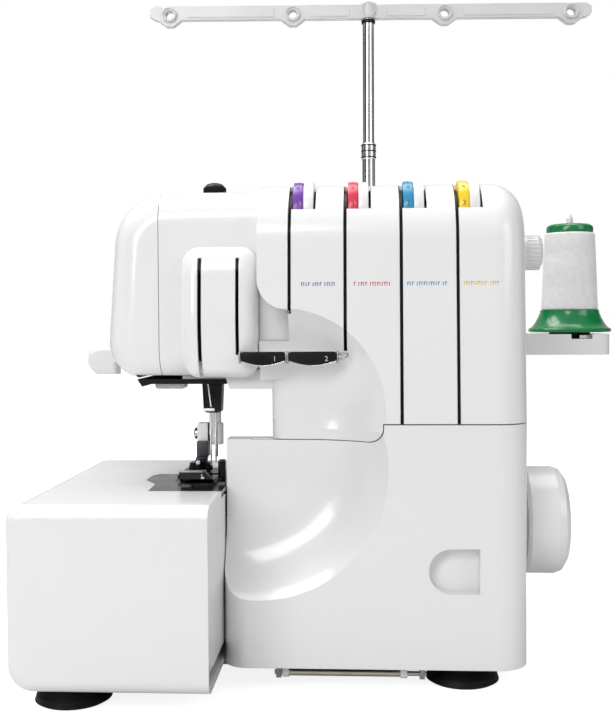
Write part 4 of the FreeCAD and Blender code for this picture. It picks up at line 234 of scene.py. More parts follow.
def makeRibTree():
    # round ribs standing in a ring about Z
    tree, entry, leave = growTree("ribRing", (
        ("Count", "Int"), ("Radius", "Float"), ("Length", "Float"), ("Width", "Float"),
        ("Finish", "Material"),
    ))
    link = tree.links.new
    ring = addNode(tree, "GeometryNodeMeshCircle")
    link(entry.outputs["Count"], ring.inputs["Vertices"])
    link(entry.outputs["Radius"], ring.inputs["Radius"])
    half = addNode(tree, "ShaderNodeMath", {1: 0.5}, operation="MULTIPLY")
    link(entry.outputs["Width"], half.inputs[0])
    rib = addNode(tree, "GeometryNodeMeshCylinder", {"Vertices": 8})
    link(half.outputs["Value"], rib.inputs["Radius"])
    link(entry.outputs["Length"], rib.inputs["Depth"])
    stand = addNode(tree, "GeometryNodeInstanceOnPoints")
    link(ring.outputs["Mesh"], stand.inputs["Points"])
    link(rib.outputs["Mesh"], stand.inputs["Instance"])
    closeTree(tree, stand.outputs["Instances"], entry, leave)
    return tree


def makeWindingTree():
    # a close winding with a steeper one laid across it, both on a cone
    tree, entry, leave = growTree("threadWinding", (
        ("Turns", "Float"), ("Cross Turns", "Float"), ("Low Radius", "Float"), ("High Radius", "Float"),
        ("Height", "Float"), ("Strand", "Float"), ("Finish", "Material"),
    ))
    link = tree.links.new
    section = addNode(tree, "GeometryNodeCurvePrimitiveCircle", {"Resolution": 5})
    link(entry.outputs["Strand"], section.inputs["Radius"])
    both = addNode(tree, "GeometryNodeJoinGeometry")
    for turns, reverse, points in (("Turns", False, 36), ("Cross Turns", True, 60)):
        path = addNode(tree, "GeometryNodeCurveSpiral", {"Resolution": points, "Reverse": reverse})
        link(entry.outputs[turns], path.inputs["Rotations"])
        link(entry.outputs["Low Radius"], path.inputs["Start Radius"])
        link(entry.outputs["High Radius"], path.inputs["End Radius"])
        link(entry.outputs["Height"], path.inputs["Height"])
        strand = addNode(tree, "GeometryNodeCurveToMesh", {"Fill Caps": True})
        link(path.outputs["Curve"], strand.inputs["Curve"])
        link(section.outputs["Curve"], strand.inputs["Profile Curve"])
        link(strand.outputs["Mesh"], both.inputs["Geometry"])
    closeTree(tree, both.outputs["Geometry"], entry, leave)
    return tree


def makeRecessTree():
    # a black cross on each seed point, seen along Y: painted shade of a cross recess
    tree, entry, leave = growTree("crossRecessShade", (
        ("Length", "Float"), ("Width", "Float"), ("Depth", "Float"), ("Finish", "Material"),
    ))
    link = tree.links.new
    both = addNode(tree, "GeometryNodeJoinGeometry")
    for first, last in (("Length", "Width"), ("Width", "Length")):
        size = addNode(tree, "ShaderNodeCombineXYZ")
        link(entry.outputs[first], size.inputs["X"])
        link(entry.outputs["Depth"], size.inputs["Y"])
        link(entry.outputs[last], size.inputs["Z"])
        bar = addNode(tree, "GeometryNodeMeshCube")
        link(size.outputs["Vector"], bar.inputs["Size"])
        link(bar.outputs["Mesh"], both.inputs["Geometry"])
    stand = addNode(tree, "GeometryNodeInstanceOnPoints")
    link(entry.outputs["Geometry"], stand.inputs["Points"])
    link(both.outputs["Geometry"], stand.inputs["Instance"])
    closeTree(tree, stand.outputs["Instances"], entry, leave)
    return tree


ribTree = makeRibTree()
windingTree = makeWindingTree()
recessTree = makeRecessTree()
coverTrees = {}


def frontAt(name, x, z):
    # the y of a node's front at one x and z, in mm
    if name not in coverTrees:
        coverTrees[name] = BVHTree.FromObject(nodes[name], bpy.context.evaluated_depsgraph_get())
    hit = coverTrees[name].ray_cast(Vector((x * mm, -1.0, z * mm)), Vector((0, 1, 0)))
    return hit[0].y / mm


def finishOf(name, s):
    # colour drift, roughness drift and fine grain from Object coordinates
    finish = bpy.data.materials.new(name)
    finish.use_nodes = True
    tree = finish.node_tree
    shader = tree.nodes["Principled BSDF"]
    link = tree.links.new
    place = addNode(tree, "ShaderNodeTexCoord")
    mapping = addNode(tree, "ShaderNodeMapping")
    mapping.inputs["Scale"].default_value = s.get("stretch", (1, 1, 1))
    link(place.outputs["Object"], mapping.inputs["Vector"])

    drift = addNode(tree, "ShaderNodeTexNoise", {"Scale": s.get("driftScale", 14.0), "Detail": 4.0})
    link(place.outputs["Object"], drift.inputs["Vector"])
    tint = addNode(tree, "ShaderNodeValToRGB")
    tint.color_ramp.elements[0].position = 0.3
    tint.color_ramp.elements[1].position = 0.7
    tint.color_ramp.elements[0].color = (*s["deep"], 1)
    tint.color_ramp.elements[1].color = (*s["colour"], 1)
    link(drift.outputs["Fac"], tint.inputs["Fac"])
    link(tint.outputs["Color"], shader.inputs["Base Color"])

    smear = addNode(tree, "ShaderNodeTexNoise", {"Scale": s.get("smearScale", 60.0), "Detail": 5.0})
    link(mapping.outputs["Vector"], smear.inputs["Vector"])
    polish = addNode(tree, "ShaderNodeMapRange", {"From Min": 0.3, "From Max": 0.7})
    polish.inputs["To Min"].default_value = s["rough"][0]
    polish.inputs["To Max"].default_value = s["rough"][1]
    link(smear.outputs["Fac"], polish.inputs["Value"])
    link(polish.outputs["Result"], shader.inputs["Roughness"])

    grain = addNode(tree, "ShaderNodeTexNoise", {"Scale": s.get("grainScale", 1500.0), "Detail": 3.0})
    link(mapping.outputs["Vector"], grain.inputs["Vector"])
    relief = addNode(tree, "ShaderNodeBump", {"Strength": s.get("relief", 0.1), "Distance": 0.0002})
    link(grain.outputs["Fac"], relief.inputs["Height"])
    if s.get("softEdge"):
        edge = addNode(tree, "ShaderNodeBevel", {"Radius": s["softEdge"] * mm}, samples=4)
        link(edge.outputs["Normal"], relief.inputs["Normal"])
    link(relief.outputs["Normal"], shader.inputs["Normal"])
    for socket, value in s.get("shader", {}).items():
        shader.inputs[socket].default_value = value
    return finish


metal = {"Metallic": 1.0}
gloss = {"Coat Weight": 0.35, "Coat Roughness": 0.05}
finishSettings = {
    "white_shell": {
        "colour": (0.82, 0.82, 0.817), "deep": (0.81, 0.81, 0.807), "rough": (0.2, 0.225), "driftScale": 9,
        "grainScale": 900, "relief": 0.008, "softEdge": 0.7, "shader": gloss,
    },
    "white_control": {
        "colour": (0.79, 0.79, 0.785), "deep": (0.76, 0.76, 0.755), "rough": (0.26, 0.36), "driftScale": 20,
        "grainScale": 1200, "relief": 0.02, "softEdge": 0.5, "shader": gloss,
    },
    "black_plastic": {
        "colour": (0.009, 0.009, 0.010), "deep": (0.004, 0.004, 0.005), "rough": (0.3, 0.42),
        "driftScale": 60, "grainScale": 2600, "relief": 0.12, "softEdge": 0.3,
        "shader": {"Specular IOR Level": 0.2},
    },
    "black_rubber": {
        "colour": (0.006, 0.006, 0.006), "deep": (0.003, 0.003, 0.003), "rough": (0.45, 0.6),
        "driftScale": 40, "grainScale": 1400, "relief": 0.2, "shader": {"Specular IOR Level": 0.22},
    },
    "belt_rubber": {
        "colour": (0.03, 0.03, 0.03), "deep": (0.014, 0.014, 0.014), "rough": (0.6, 0.8), "driftScale": 90,
        "grainScale": 1800, "relief": 0.3,
    },
    "base_steel": {
        "colour": (0.36, 0.36, 0.37), "deep": (0.24, 0.24, 0.25), "rough": (0.38, 0.55), "driftScale": 30,
        "grainScale": 700, "relief": 0.15, "shader": metal,
    },
    "hinge_steel": {
        "colour": (0.62, 0.57, 0.47), "deep": (0.5, 0.46, 0.38), "rough": (0.25, 0.42), "driftScale": 80,
        "grainScale": 600, "stretch": (0.05, 1, 1), "relief": 0.1, "shader": metal,
    },
    "polished_plate": {
        "colour": (0.33, 0.315, 0.30), "deep": (0.22, 0.21, 0.20), "rough": (0.16, 0.3), "driftScale": 45,
        "grainScale": 900, "stretch": (0.08, 1, 1), "relief": 0.08, "shader": metal,
    },
    "screw_steel": {
        "colour": (0.60, 0.60, 0.60), "deep": (0.42, 0.42, 0.42), "rough": (0.22, 0.4), "driftScale": 220,
        "grainScale": 1500, "relief": 0.08, "shader": metal,
    },
    "tool_steel": {
        "colour": (0.45, 0.45, 0.46), "deep": (0.30, 0.30, 0.31), "rough": (0.24, 0.42), "driftScale": 90,
        "grainScale": 1100, "stretch": (1, 0.1, 1), "relief": 0.1, "shader": metal,
    },
    "needle_steel": {
        "colour": (0.70, 0.70, 0.71), "deep": (0.55, 0.55, 0.56), "rough": (0.12, 0.24), "driftScale": 120,
        "grainScale": 1300, "stretch": (1, 1, 0.05), "relief": 0.06, "shader": metal,
    },
    "dark_chrome": {
        "colour": (0.042, 0.042, 0.048), "deep": (0.018, 0.018, 0.021), "rough": (0.16, 0.3),
        "driftScale": 120, "grainScale": 1500, "relief": 0.06, "softEdge": 0.3, "shader": metal,
    },
    "bright_chrome": {
        "colour": (0.74, 0.74, 0.75), "deep": (0.60, 0.60, 0.61), "rough": (0.07, 0.16), "driftScale": 90,
        "grainScale": 1600, "stretch": (1, 1, 0.1), "relief": 0.03, "softEdge": 0.25, "shader": metal,
    },
    "purple_dial": {
        "colour": (0.155, 0.02, 0.36), "deep": (0.13, 0.015, 0.31), "rough": (0.3, 0.42), "driftScale": 90,
        "grainScale": 1800, "relief": 0.05, "softEdge": 0.3, "shader": gloss,
    },
    "red_dial": {
        "colour": (0.66, 0.014, 0.055), "deep": (0.58, 0.01, 0.045), "rough": (0.3, 0.42), "driftScale": 90,
        "grainScale": 1800, "relief": 0.05, "softEdge": 0.3, "shader": gloss,
    },
    "blue_dial": {
        "colour": (0.0, 0.26, 0.47), "deep": (0.0, 0.22, 0.42), "rough": (0.3, 0.42), "driftScale": 90,
        "grainScale": 1800, "relief": 0.05, "softEdge": 0.3, "shader": gloss,
    },
    "yellow_dial": {
        "colour": (0.86, 0.58, 0.0), "deep": (0.80, 0.52, 0.0), "rough": (0.3, 0.42), "driftScale": 90,
        "grainScale": 1800, "relief": 0.05, "softEdge": 0.3, "shader": gloss,
    },
    "purple_ink": {
        "colour": (0.045, 0.006, 0.11), "deep": (0.035, 0.004, 0.09), "rough": (0.35, 0.45), "relief": 0.04,
    },
    "red_ink": {
        "colour": (0.24, 0.004, 0.02), "deep": (0.2, 0.003, 0.015), "rough": (0.35, 0.45), "relief": 0.04,
    },
    "blue_ink": {
        "colour": (0.0, 0.065, 0.15), "deep": (0.0, 0.05, 0.12), "rough": (0.35, 0.45), "relief": 0.04,
    },
    "yellow_ink": {
        "colour": (0.26, 0.15, 0.0), "deep": (0.2, 0.12, 0.0), "rough": (0.35, 0.45), "relief": 0.04,
    },
    # chrome painted near-white and not metallic: a painted reflection standing in for the glare of the
    # presser bar, ankle block, clamp rim and glint
    "painted_glare_chrome": {
        "colour": (0.97, 0.97, 0.97), "deep": (0.93, 0.93, 0.935), "rough": (0.1, 0.2), "driftScale": 120,
        "grainScale": 1600, "relief": 0.03, "softEdge": 0.25, "shader": gloss,
    },
    # a dark, half-metal copy of the ankle's steel, painted as the shade on its lower block
    "painted_shade_steel": {
        "colour": (0.085, 0.082, 0.1), "deep": (0.06, 0.058, 0.072), "rough": (0.3, 0.42), "driftScale": 140,
        "grainScale": 1500, "relief": 0.08, "softEdge": 0.3, "shader": {"Metallic": 0.3},
    },
    "bracket_steel": {
        "colour": (0.5, 0.49, 0.45), "deep": (0.38, 0.37, 0.34), "rough": (0.32, 0.5), "driftScale": 50,
        "grainScale": 900, "relief": 0.12, "shader": metal,
    },
    "cast_frame": {
        "colour": (0.40, 0.41, 0.42), "deep": (0.29, 0.30, 0.31), "rough": (0.42, 0.6), "driftScale": 35,
        "grainScale": 650, "relief": 0.4, "shader": {"Metallic": 0.85},
    },
    "lamp_lens": {
        "colour": (0.93, 0.92, 0.86), "deep": (0.88, 0.87, 0.80), "rough": (0.12, 0.2), "driftScale": 60,
        "grainScale": 500, "relief": 0.15, "shader": {"Transmission Weight": 0.55, "IOR": 1.49},
    },
    "bush_bronze": {
        "colour": (0.62, 0.40, 0.17), "deep": (0.46, 0.29, 0.12), "rough": (0.3, 0.48), "driftScale": 120,
        "grainScale": 1300, "relief": 0.2, "shader": metal,
    },
    "pulley_alloy": {
        "colour": (0.58, 0.58, 0.59), "deep": (0.44, 0.44, 0.45), "rough": (0.3, 0.45), "driftScale": 60,
        "grainScale": 900, "stretch": (0.1, 1, 1), "relief": 0.12, "shader": metal,
    },
    "motor_shell": {
        "colour": (0.10, 0.11, 0.12), "deep": (0.07, 0.075, 0.08), "rough": (0.4, 0.55), "driftScale": 60,
        "grainScale": 900, "relief": 0.2, "shader": {"Metallic": 0.4},
    },
    "green_reel": {
        "colour": (0.0, 0.20, 0.052), "deep": (0.0, 0.165, 0.04), "rough": (0.2, 0.3), "driftScale": 50,
        "grainScale": 1400, "relief": 0.04, "softEdge": 0.4, "shader": gloss,
    },
    "white_thread": {
        "colour": (0.86, 0.86, 0.86), "deep": (0.78, 0.78, 0.785), "rough": (0.6, 0.8), "driftScale": 300,
        "grainScale": 5200, "relief": 0.4, "shader": {"Sheen Weight": 0.3, "Sheen Roughness": 0.4},
    },
    "clear_bar": {
        "colour": (0.84, 0.85, 0.85), "deep": (0.79, 0.80, 0.80), "rough": (0.3, 0.42), "driftScale": 25,
        "grainScale": 900, "relief": 0.06, "softEdge": 0.4,
        "shader": {"Transmission Weight": 0.3, "IOR": 1.46, "Coat Weight": 0.2},
    },
}
finishes = {name: finishOf(name, settings) for name, settings in finishSettings.items()}
for name, part in nodes.items():
    part.material_slots[0].material = finishes[part.material_slots[0].material.name.split(".")[0]]
print("finishes made:", len(finishes))

studio = {
    "cameraAt": (4.0, -668.5, 214.0), "pan": 3.1, "tilt": 1.9, "roll": 0.3, "lens": 50.85, "sensor": 36.0,
    "aimAt": (0, 0, 0.16),
    "lamps": (
        # name, place, width, height, turn, power
        ("keyLight", (-0.63, -1.35, 0.85), 1.3, 0.38, 45, 10.8),
        ("fillLight", (1.3, -1.0, 0.9), 0.8, 0.8, 0, 5.5),
        ("topLight", (0.0, 0.25, 1.6), 1.2, 1.0, 0, 13.0),
        ("sideLight", (-0.7, 0.1, 1.3), 0.7, 0.7, 0, 11.0),
    ),
    "sky": (
        (0.0, 0.9), (0.055, 0.12), (0.14, 0.12), (0.2, 0.95), (0.5, 1.0),
        (0.8, 0.95), (0.86, 0.12), (0.945, 0.12), (1.0, 0.9),
    ),
    "skyPower": 0.46, "skyBlue": 1.005, "floorSide": 9.0, "floorGlow": 0.86,
    "floor": {
        "colour": (0.6, 0.6, 0.6), "deep": (0.59, 0.59, 0.59), "rough": (0.6, 0.66), "driftScale": 2,
        "grainScale": 300, "relief": 0.01,
        "shader": {"Emission Color": (1, 1, 1, 1), "Specular IOR Level": 0.1},
    },
}


def aimed(spot, target):
    # a placed matrix whose -Z looks at the target
    turn = (Vector(target) - Vector(spot)).to_track_quat("-Z", "Y")
    return Matrix.Translation(spot) @ turn.to_matrix().to_4x4()


def makeStudio(s):
    pan, tilt = math.radians(s["pan"]), math.radians(s["tilt"])
    ahead = Vector((-math.sin(pan) * math.cos(tilt), math.cos(pan) * math.cos(tilt), -math.sin(tilt)))
    side = ahead.cross(Vector((0, 0, 1))).normalized()
    above = side.cross(ahead)
    lens = bpy.data.cameras.new("photoCamera")
    lens.lens = s["lens"]
    lens.sensor_width = s["sensor"]
    lens.clip_start = 0.01
    camera = bpy.data.objects.new("photoCamera", lens)
    scene.collection.objects.link(camera)
    pose = Matrix((side, above, -ahead)).transposed().to_4x4()
    roll = Matrix.Rotation(math.radians(s["roll"]), 4, ahead)
    camera.matrix_world = Matrix.Translation(Vector(s["cameraAt"]) * mm) @ roll @ pose
    scene.camera = camera

    for name, spot, width, height, turn, power in s["lamps"]:
        lamp = bpy.data.lights.new(name, "AREA")
        lamp.shape = "RECTANGLE"
        lamp.size, lamp.size_y = width, height
        lamp.energy = power
        holder = bpy.data.objects.new(name, lamp)
        scene.collection.objects.link(holder)
        spin = Matrix.Rotation(math.radians(turn), 4, "Z")
        holder.matrix_world = aimed(Vector(spot), s["aimAt"]) @ spin

    world = bpy.data.worlds.new("paleStudio")
    scene.world = world
    world.use_nodes = True
    tree = world.node_tree
    sky = tree.nodes["Background"]
    place = addNode(tree, "ShaderNodeTexCoord")
    split = addNode(tree, "ShaderNodeSeparateXYZ")
    tree.links.new(place.outputs["Generated"], split.inputs["Vector"])
    spread = addNode(tree, "ShaderNodeMapRange", {"From Min": -1.0, "From Max": 1.0})
    tree.links.new(split.outputs["X"], spread.inputs["Value"])
    bands = addNode(tree, "ShaderNodeValToRGB")
    ramp = bands.color_ramp
    while len(ramp.elements) < len(s["sky"]):
        ramp.elements.new(0.5)
    for stop, (at, shade) in zip(ramp.elements, s["sky"]):
        stop.position = at
        stop.color = (shade, shade, shade * s["skyBlue"], 1)
    tree.links.new(spread.outputs["Result"], bands.inputs["Fac"])
    tree.links.new(bands.outputs["Color"], sky.inputs["Color"])
    sky.inputs["Strength"].default_value = s["skyPower"]

    white = addNode(tree, "ShaderNodeBackground", {"Color": (1, 1, 1, 1), "Strength": 1.0})
    eye = addNode(tree, "ShaderNodeLightPath")
    choose = addNode(tree, "ShaderNodeMixShader")
    tree.links.new(eye.outputs["Is Camera Ray"], choose.inputs[0])
    tree.links.new(sky.outputs["Background"], choose.inputs[1])
    tree.links.new(white.outputs["Background"], choose.inputs[2])
    tree.links.new(choose.outputs["Shader"], tree.nodes["World Output"].inputs["Surface"])

    half = s["floorSide"] / 2
    mesh = bpy.data.meshes.new("studioFloor")
    corners = [(-half, -half, 0), (half, -half, 0), (half, half, 0), (-half, half, 0)]
    mesh.from_pydata(corners, [], [(0, 1, 2, 3)])
    floor = bpy.data.objects.new("studioFloor", mesh)
    scene.collection.objects.link(floor)
    pale = finishOf("paleFloor", s["floor"])
    tree = pale.node_tree
    eye = addNode(tree, "ShaderNodeLightPath")
    glow = addNode(tree, "ShaderNodeMath", {1: s["floorGlow"]}, operation="MULTIPLY")
    tree.links.new(eye.outputs["Is Camera Ray"], glow.inputs[0])
    tree.links.new(glow.outputs["Value"], tree.nodes["Principled BSDF"].inputs["Emission Strength"])
    mesh.materials.append(pale)
    scene.view_settings.view_transform = "Standard"


makeStudio(studio)
print("studio set")

# each dial is a coloured band with digits beside a white grip band
dial = {
    "names": ("left_needle", "right_needle", "upper_looper", "lower_looper"),
    "finishes": ("purple_dial", "red_dial", "blue_dial", "yellow_dial"),
    "inks": ("purple_ink", "red_ink", "blue_ink", "yellow_ink"),
    "band": 6.1, "groove": 0.9, "dip": 0.6, "edge": 0.5, "digits": 10, "textSize": 4.4, "textRise": 0.08,
    "textDepth": 0.1, "textAt": 0.46, "steps": 96,
    "first": 3, "firstTurn": 12.0, "hub": 8.0, "hubDip": 1.6,
}


def textMesh(letters, size, depth):
    curve = bpy.data.curves.new("mark", "FONT")
    curve.body = letters
    curve.size = size * mm
    curve.align_x = "CENTER"
    curve.align_y = "CENTER"
    curve.extrude = depth * mm
    spare = bpy.data.objects.new("mark", curve)
    scene.collection.objects.link(spare)
    mesh = bpy.data.meshes.new_from_object(spare)
    bpy.data.objects.remove(spare)
    bpy.data.curves.remove(curve)
    return mesh


def makeDial(name, paint, ink):
    node, body = name + "_dial", name + "_tension"
    low, high = boxOf(node)
    radius = (high[2] - low[2]) / 2
    centre = (0, (low[1] + high[1]) / 2, (low[2] + high[2]) / 2)
    left, right, seam = low[0], high[0], low[0] + dial["band"]
    edge, dip = dial["edge"], dial["dip"]

    work = bmesh.new()
    addTurned(work, [
        (dial["hub"], left + dial["hubDip"]), (dial["hub"] + 1, left), (radius - edge, left),
        (radius - edge * 0.3, left + edge * 0.3), (radius, left + edge), (radius, seam - dial["groove"]),
        (radius - dip, seam - dial["groove"] / 2), (radius - dip, seam), (dial["hub"], seam),
    ], "x", centre, dial["steps"], True)
    band = keepWork(node + "Band", work, body, paint)

    work = bmesh.new()
    addTurned(work, [
        (radius - dip, seam), (radius - dip * 0.4, seam + 0.3), (radius - 0.1, seam + 0.9),
        (radius - 0.1, right - edge), (radius - edge * 0.4, right - edge * 0.3), (radius - edge, right),
        (dial["hub"] + 1, right), (dial["hub"], right - dial["hubDip"]), (dial["hub"], seam),
    ], "x", centre, dial["steps"], True)
    keepWork(node + "Grip", work, body, "white_control")

    work = bmesh.new()
    for step in range(dial["digits"]):
        letters = textMesh(str(step), dial["textSize"], dial["textDepth"])
        turn = math.radians(dial["firstTurn"] - (dial["first"] - step) * 360 / dial["digits"])
        for vert in letters.vertices:
            angle = turn + vert.co.y / (radius * mm)
            reach = (radius + dial["textRise"] - dial["textDepth"]) * mm + vert.co.z
            vert.co = Vector((
                (left + dial["band"] * dial["textAt"]) * mm + vert.co.x,
                centre[1] * mm - math.cos(angle) * reach,
                centre[2] * mm + math.sin(angle) * reach,
            ))
        work.from_mesh(letters)
        bpy.data.meshes.remove(letters)
    keepWork(node + "Digits", work, body, ink)
    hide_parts(node)


for dialName, dialPaint, dialInk in zip(dial["names"], dial["finishes"], dial["inks"]):
    makeDial(dialName, dialPaint, dialInk)
print("dials made")


def ribsAbout(name, axis, centre, count, radius, length, width, finish):
    mesh = grown(ribTree, name, {
        "Count": count, "Radius": radius * mm, "Length": length * mm, "Width": width * mm, "Finish": finish,
    })
    mesh.transform(Matrix.Translation(Vector(centre) * mm) @ axisTurn[axis])
    return mesh


# low black knob on the head with a knurled side
pressureKnob = {
    "height": 8.5, "skirt": 1.3, "wall": 0.62, "inset": 0.6, "stem": 4.0, "ribs": 30, "ribWidth": 1.1,
}


def makePressureKnob(s):
    low, high = boxOf("pressure_knob")
    radius = (high[0] - low[0]) / 2
    centre = ((low[0] + high[0]) / 2, (low[1] + high[1]) / 2, 0)
    base, top, side = high[2] - s["height"], high[2], radius - s["inset"]
    wall = base + (top - base) * s["wall"]
    work = bmesh.new()
    addTurned(work, [
        (0, low[2]), (s["stem"], low[2]), (s["stem"], base), (radius, base),
        (radius, base + s["skirt"] * 0.7), (side, base + s["skirt"]), (side, wall),
        (radius - 1.2, wall + 1.0), (radius - 2.6, top - 0.9), (radius - 4.6, top - 0.2), (0, top),
    ], "z", centre, 64)
    middle = (centre[0], centre[1], (base + s["skirt"] + wall) / 2)
    ribs = ribsAbout("knurl", "z", middle, s["ribs"], side, wall - base - s["skirt"], s["ribWidth"],
                     finishes["black_plastic"])
    work.from_mesh(ribs)
    bpy.data.meshes.remove(ribs)
    knob = keepWork("pressureKnob", work, "pressure_dial", "black_plastic")
    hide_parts("pressure_knob")


makePressureKnob(pressureKnob)

# two dark lens-shaped thread guides, each with a chrome wire along its lower edge as a painted highlight,
# end clips and its number
guides = {
    "spans": ((-66.2, -41.0), (-38.2, -11.0)), "top": 199.3, "end": 194.0, "sag": 191.4, "front": -81.2,
    "back": -77.0, "lipGlare": 0.2, "clip": 1.6, "markSize": 4.0, "markInset": 5.6, "markDrop": 4.2, "cut": 0.8,
    "arcSteps": 14, "hookRadius": 0.55,
    "hook": (
        (0, 1.6, 2.4), (2.4, 1.2, 1.6), (4.4, 1.4, 2.0), (5.6, 2.2, 3.4), (4.6, 3.2, 4.4), (0, 3.4, 4.0),
    ),
}


def makeGuides(s):
    lens, bright, clips, marks = bmesh.new(), bmesh.new(), bmesh.new(), bmesh.new()
    top, cut = s["top"], s["cut"]
    for index, (left, right) in enumerate(s["spans"]):
        arc = []
        for step in range(s["arcSteps"] + 1):
            share = step / s["arcSteps"]
            sag = (s["end"] - s["sag"]) * math.sin(math.pi * share)
            arc.append((right + (left - right) * share, s["end"] - sag))
        outline = [(left, top - cut), (left + cut, top), (right - cut, top), (right, top - cut)] + arc
        addSlab(lens, outline, "y", s["front"], s["back"], 0.45, 3)
        # a thin chrome wire along the lower arc, standing in for the edge's highlight: painted highlight
        addWire(bright, [(x, s["front"] + 0.25, z - 0.15) for x, z in arc], s["lipGlare"])
        for x in (left - s["clip"] * 0.55, right + s["clip"] * 0.55):
            near = (x - s["clip"] / 2, s["front"] + 0.8, s["end"] - 1.6)
            away = (x + s["clip"] / 2, s["back"] - 0.3, top + 0.4)
            addBlock(clips, near, away, 0.7)
        letter = textMesh(str(index + 1), s["markSize"], 0.08)
        spot = Vector((right - s["markInset"], s["front"] - 0.02, top - s["markDrop"])) * mm
        letter.transform(Matrix.Translation(spot) @ Matrix.Rotation(math.pi / 2, 4, "X"))
        marks.from_mesh(letter)
        bpy.data.meshes.remove(letter)
    far = s["spans"][1][1] + s["clip"]
    hook = [(far + along, s["front"] + deep, s["end"] + rise) for along, deep, rise in s["hook"]]
    addWire(clips, hook, s["hookRadius"])
    body = keepWork("guideLenses", lens, "machine", "black_plastic")
    keepWork("guideLipGlare", bright, "machine", "bright_chrome")
    keepWork("guideClips", clips, "machine", "tool_steel")
    keepWork("guideNumbers", marks, "machine", "white_control")
    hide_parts("thread_guides")


makeGuides(guides)
print("knob and guides made")

# reel of thread: bell-shaped green foot and cap, close winding between them
reel = {
    "turns": 88.0, "crossTurns": 9.0, "strand": 0.34, "inset": 0.35, "bore": 3.0, "core": 9.0, "taper": 2.4,
    "windIn": 0.7, "smooth": 60,
}


def makeReel(s):
    low, high = boxOf("cone_core")
    under, over = boxOf("cone_thread")
    radius = (high[0] - low[0]) / 2
    centre = ((low[0] + high[0]) / 2, (low[1] + high[1]) / 2, 0)
    foot, waist, top, cap = low[2], under[2], over[2], high[2]
    wide = (over[0] - under[0]) / 2
    slim, core = wide - s["taper"], s["core"]
    work = bmesh.new()
    addTurned(work, [
        (s["bore"], foot), (radius - 1.0, foot), (radius, foot + 0.7), (radius, foot + 2.2),
        (radius - 0.5, foot + 2.9), (radius - 2.2, foot + 3.6), (radius - 4.6, foot + 6.6),
        (radius - 6.8, foot + 10.6), (wide + 0.9, waist - 2.2), (wide + 0.6, waist), (s["bore"], waist),
    ], "z", centre, 96, True)
    flange = keepWork("reelFoot", work, "thread_cone", "green_reel")
    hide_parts("cone_core")
    work = bmesh.new()
    addTurned(work, [
        (s["bore"], waist), (core, waist), (core, top), (slim - 2.4, top), (slim - 1.4, top + 0.5),
        (slim - 1.2, top + 3.6), (slim - 1.7, top + 5.0), (slim - 3.0, top + 6.0), (slim - 4.0, top + 6.4),
        (slim - 4.6, top + 5.6), (slim - 6.5, top + 5.2), (5.4, top + 5.2), (4.6, top + 6.9),
        (s["bore"], cap),
    ], "z", centre, 72, True)
    keepWork("reelCap", work, "thread_cone", "green_reel")
    work = bmesh.new()
    inset = s["inset"]
    addTurned(work, [
        (core, waist), (wide - inset - 0.3, waist + 0.2), (wide - inset, waist + 2),
        (slim - inset, top - 0.8), (slim - inset - 0.6, top), (core, top),
    ], "z", centre, 72, True)
    winding = grown(windingTree, "winding", {
        "Turns": s["turns"], "Cross Turns": s["crossTurns"], "Low Radius": (wide - inset) * mm,
        "High Radius": (slim - inset) * mm, "Height": (top - waist - 2 * s["windIn"]) * mm,
        "Strand": s["strand"] * mm, "Finish": finishes["white_thread"],
    })
    winding.transform(Matrix.Translation(Vector((centre[0], centre[1], waist + s["windIn"])) * mm))
    work.from_mesh(winding)
    bpy.data.meshes.remove(winding)
    package = keepPiece("threadPackage", meshFrom(work, "threadPackage"), "thread_cone",
                        finishes["white_thread"], s["smooth"])
    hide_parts("cone_thread")


makeReel(reel)
print("reel wound")

# coloured marks under the thread slots, strokes only
slotMarks = {
    "spans": ((-31.0, -11.5), (-0.6, 20.0), (30.2, 53.0), (61.2, 82.6)), "low": 236.6, "tall": 2.7,
    "stroke": 0.42, "pitch": 1.35, "rise": 0.07, "sink": 0.3,
    "finishes": ("purple_dial", "red_dial", "blue_dial", "yellow_dial"),
    "pattern": (3, 1, 2, 3, 0, 2, 3, 1, 3, 0, 1, 3, 2, 3, 1, 2),
}


def makeSlotMarks(s):
    for index, (left, right) in enumerate(s["spans"]):
        work = bmesh.new()
        x, step = left, 0
        while x < right:
            kind = s["pattern"][(step + 3 * index) % len(s["pattern"])]
            face = frontAt("front_cover", x, s["low"] + s["tall"] / 2)
            front, back = face - s["rise"], face + s["sink"]
            if kind:
                addBlock(work, (x, front, s["low"]), (x + s["stroke"], back, s["low"] + s["tall"]))
            if kind > 1:
                high = s["low"] + (s["tall"] - s["stroke"] if kind == 3 else 0.0)
                addBlock(work, (x, front, high), (x + s["pitch"] * 0.8, back, high + s["stroke"]))
            x, step = x + s["pitch"], step + 1
        keepWork("slotMark" + str(index + 1), work, "machine", s["finishes"][index])


makeSlotMarks(slotMarks)

# dark needle clamp with a lower rim and a thin streak painted white as highlights, and two screw sockets
clamp = {
    "depth": 10.0, "taper": 0.8, "bow": 1.6, "rim": (162.0, 163.7), "rimRight": -86.0, "chin": 160.7,
    "chinInset": 2.2, "wire": ((-91.1, 181.0), (-90.2, 173.0), (-89.1, 164.6)), "wireRadius": 0.4,
    "sockets": ((-88.4, 171.4), (-87.8, 167.2)), "socketRadius": 1.15,
}


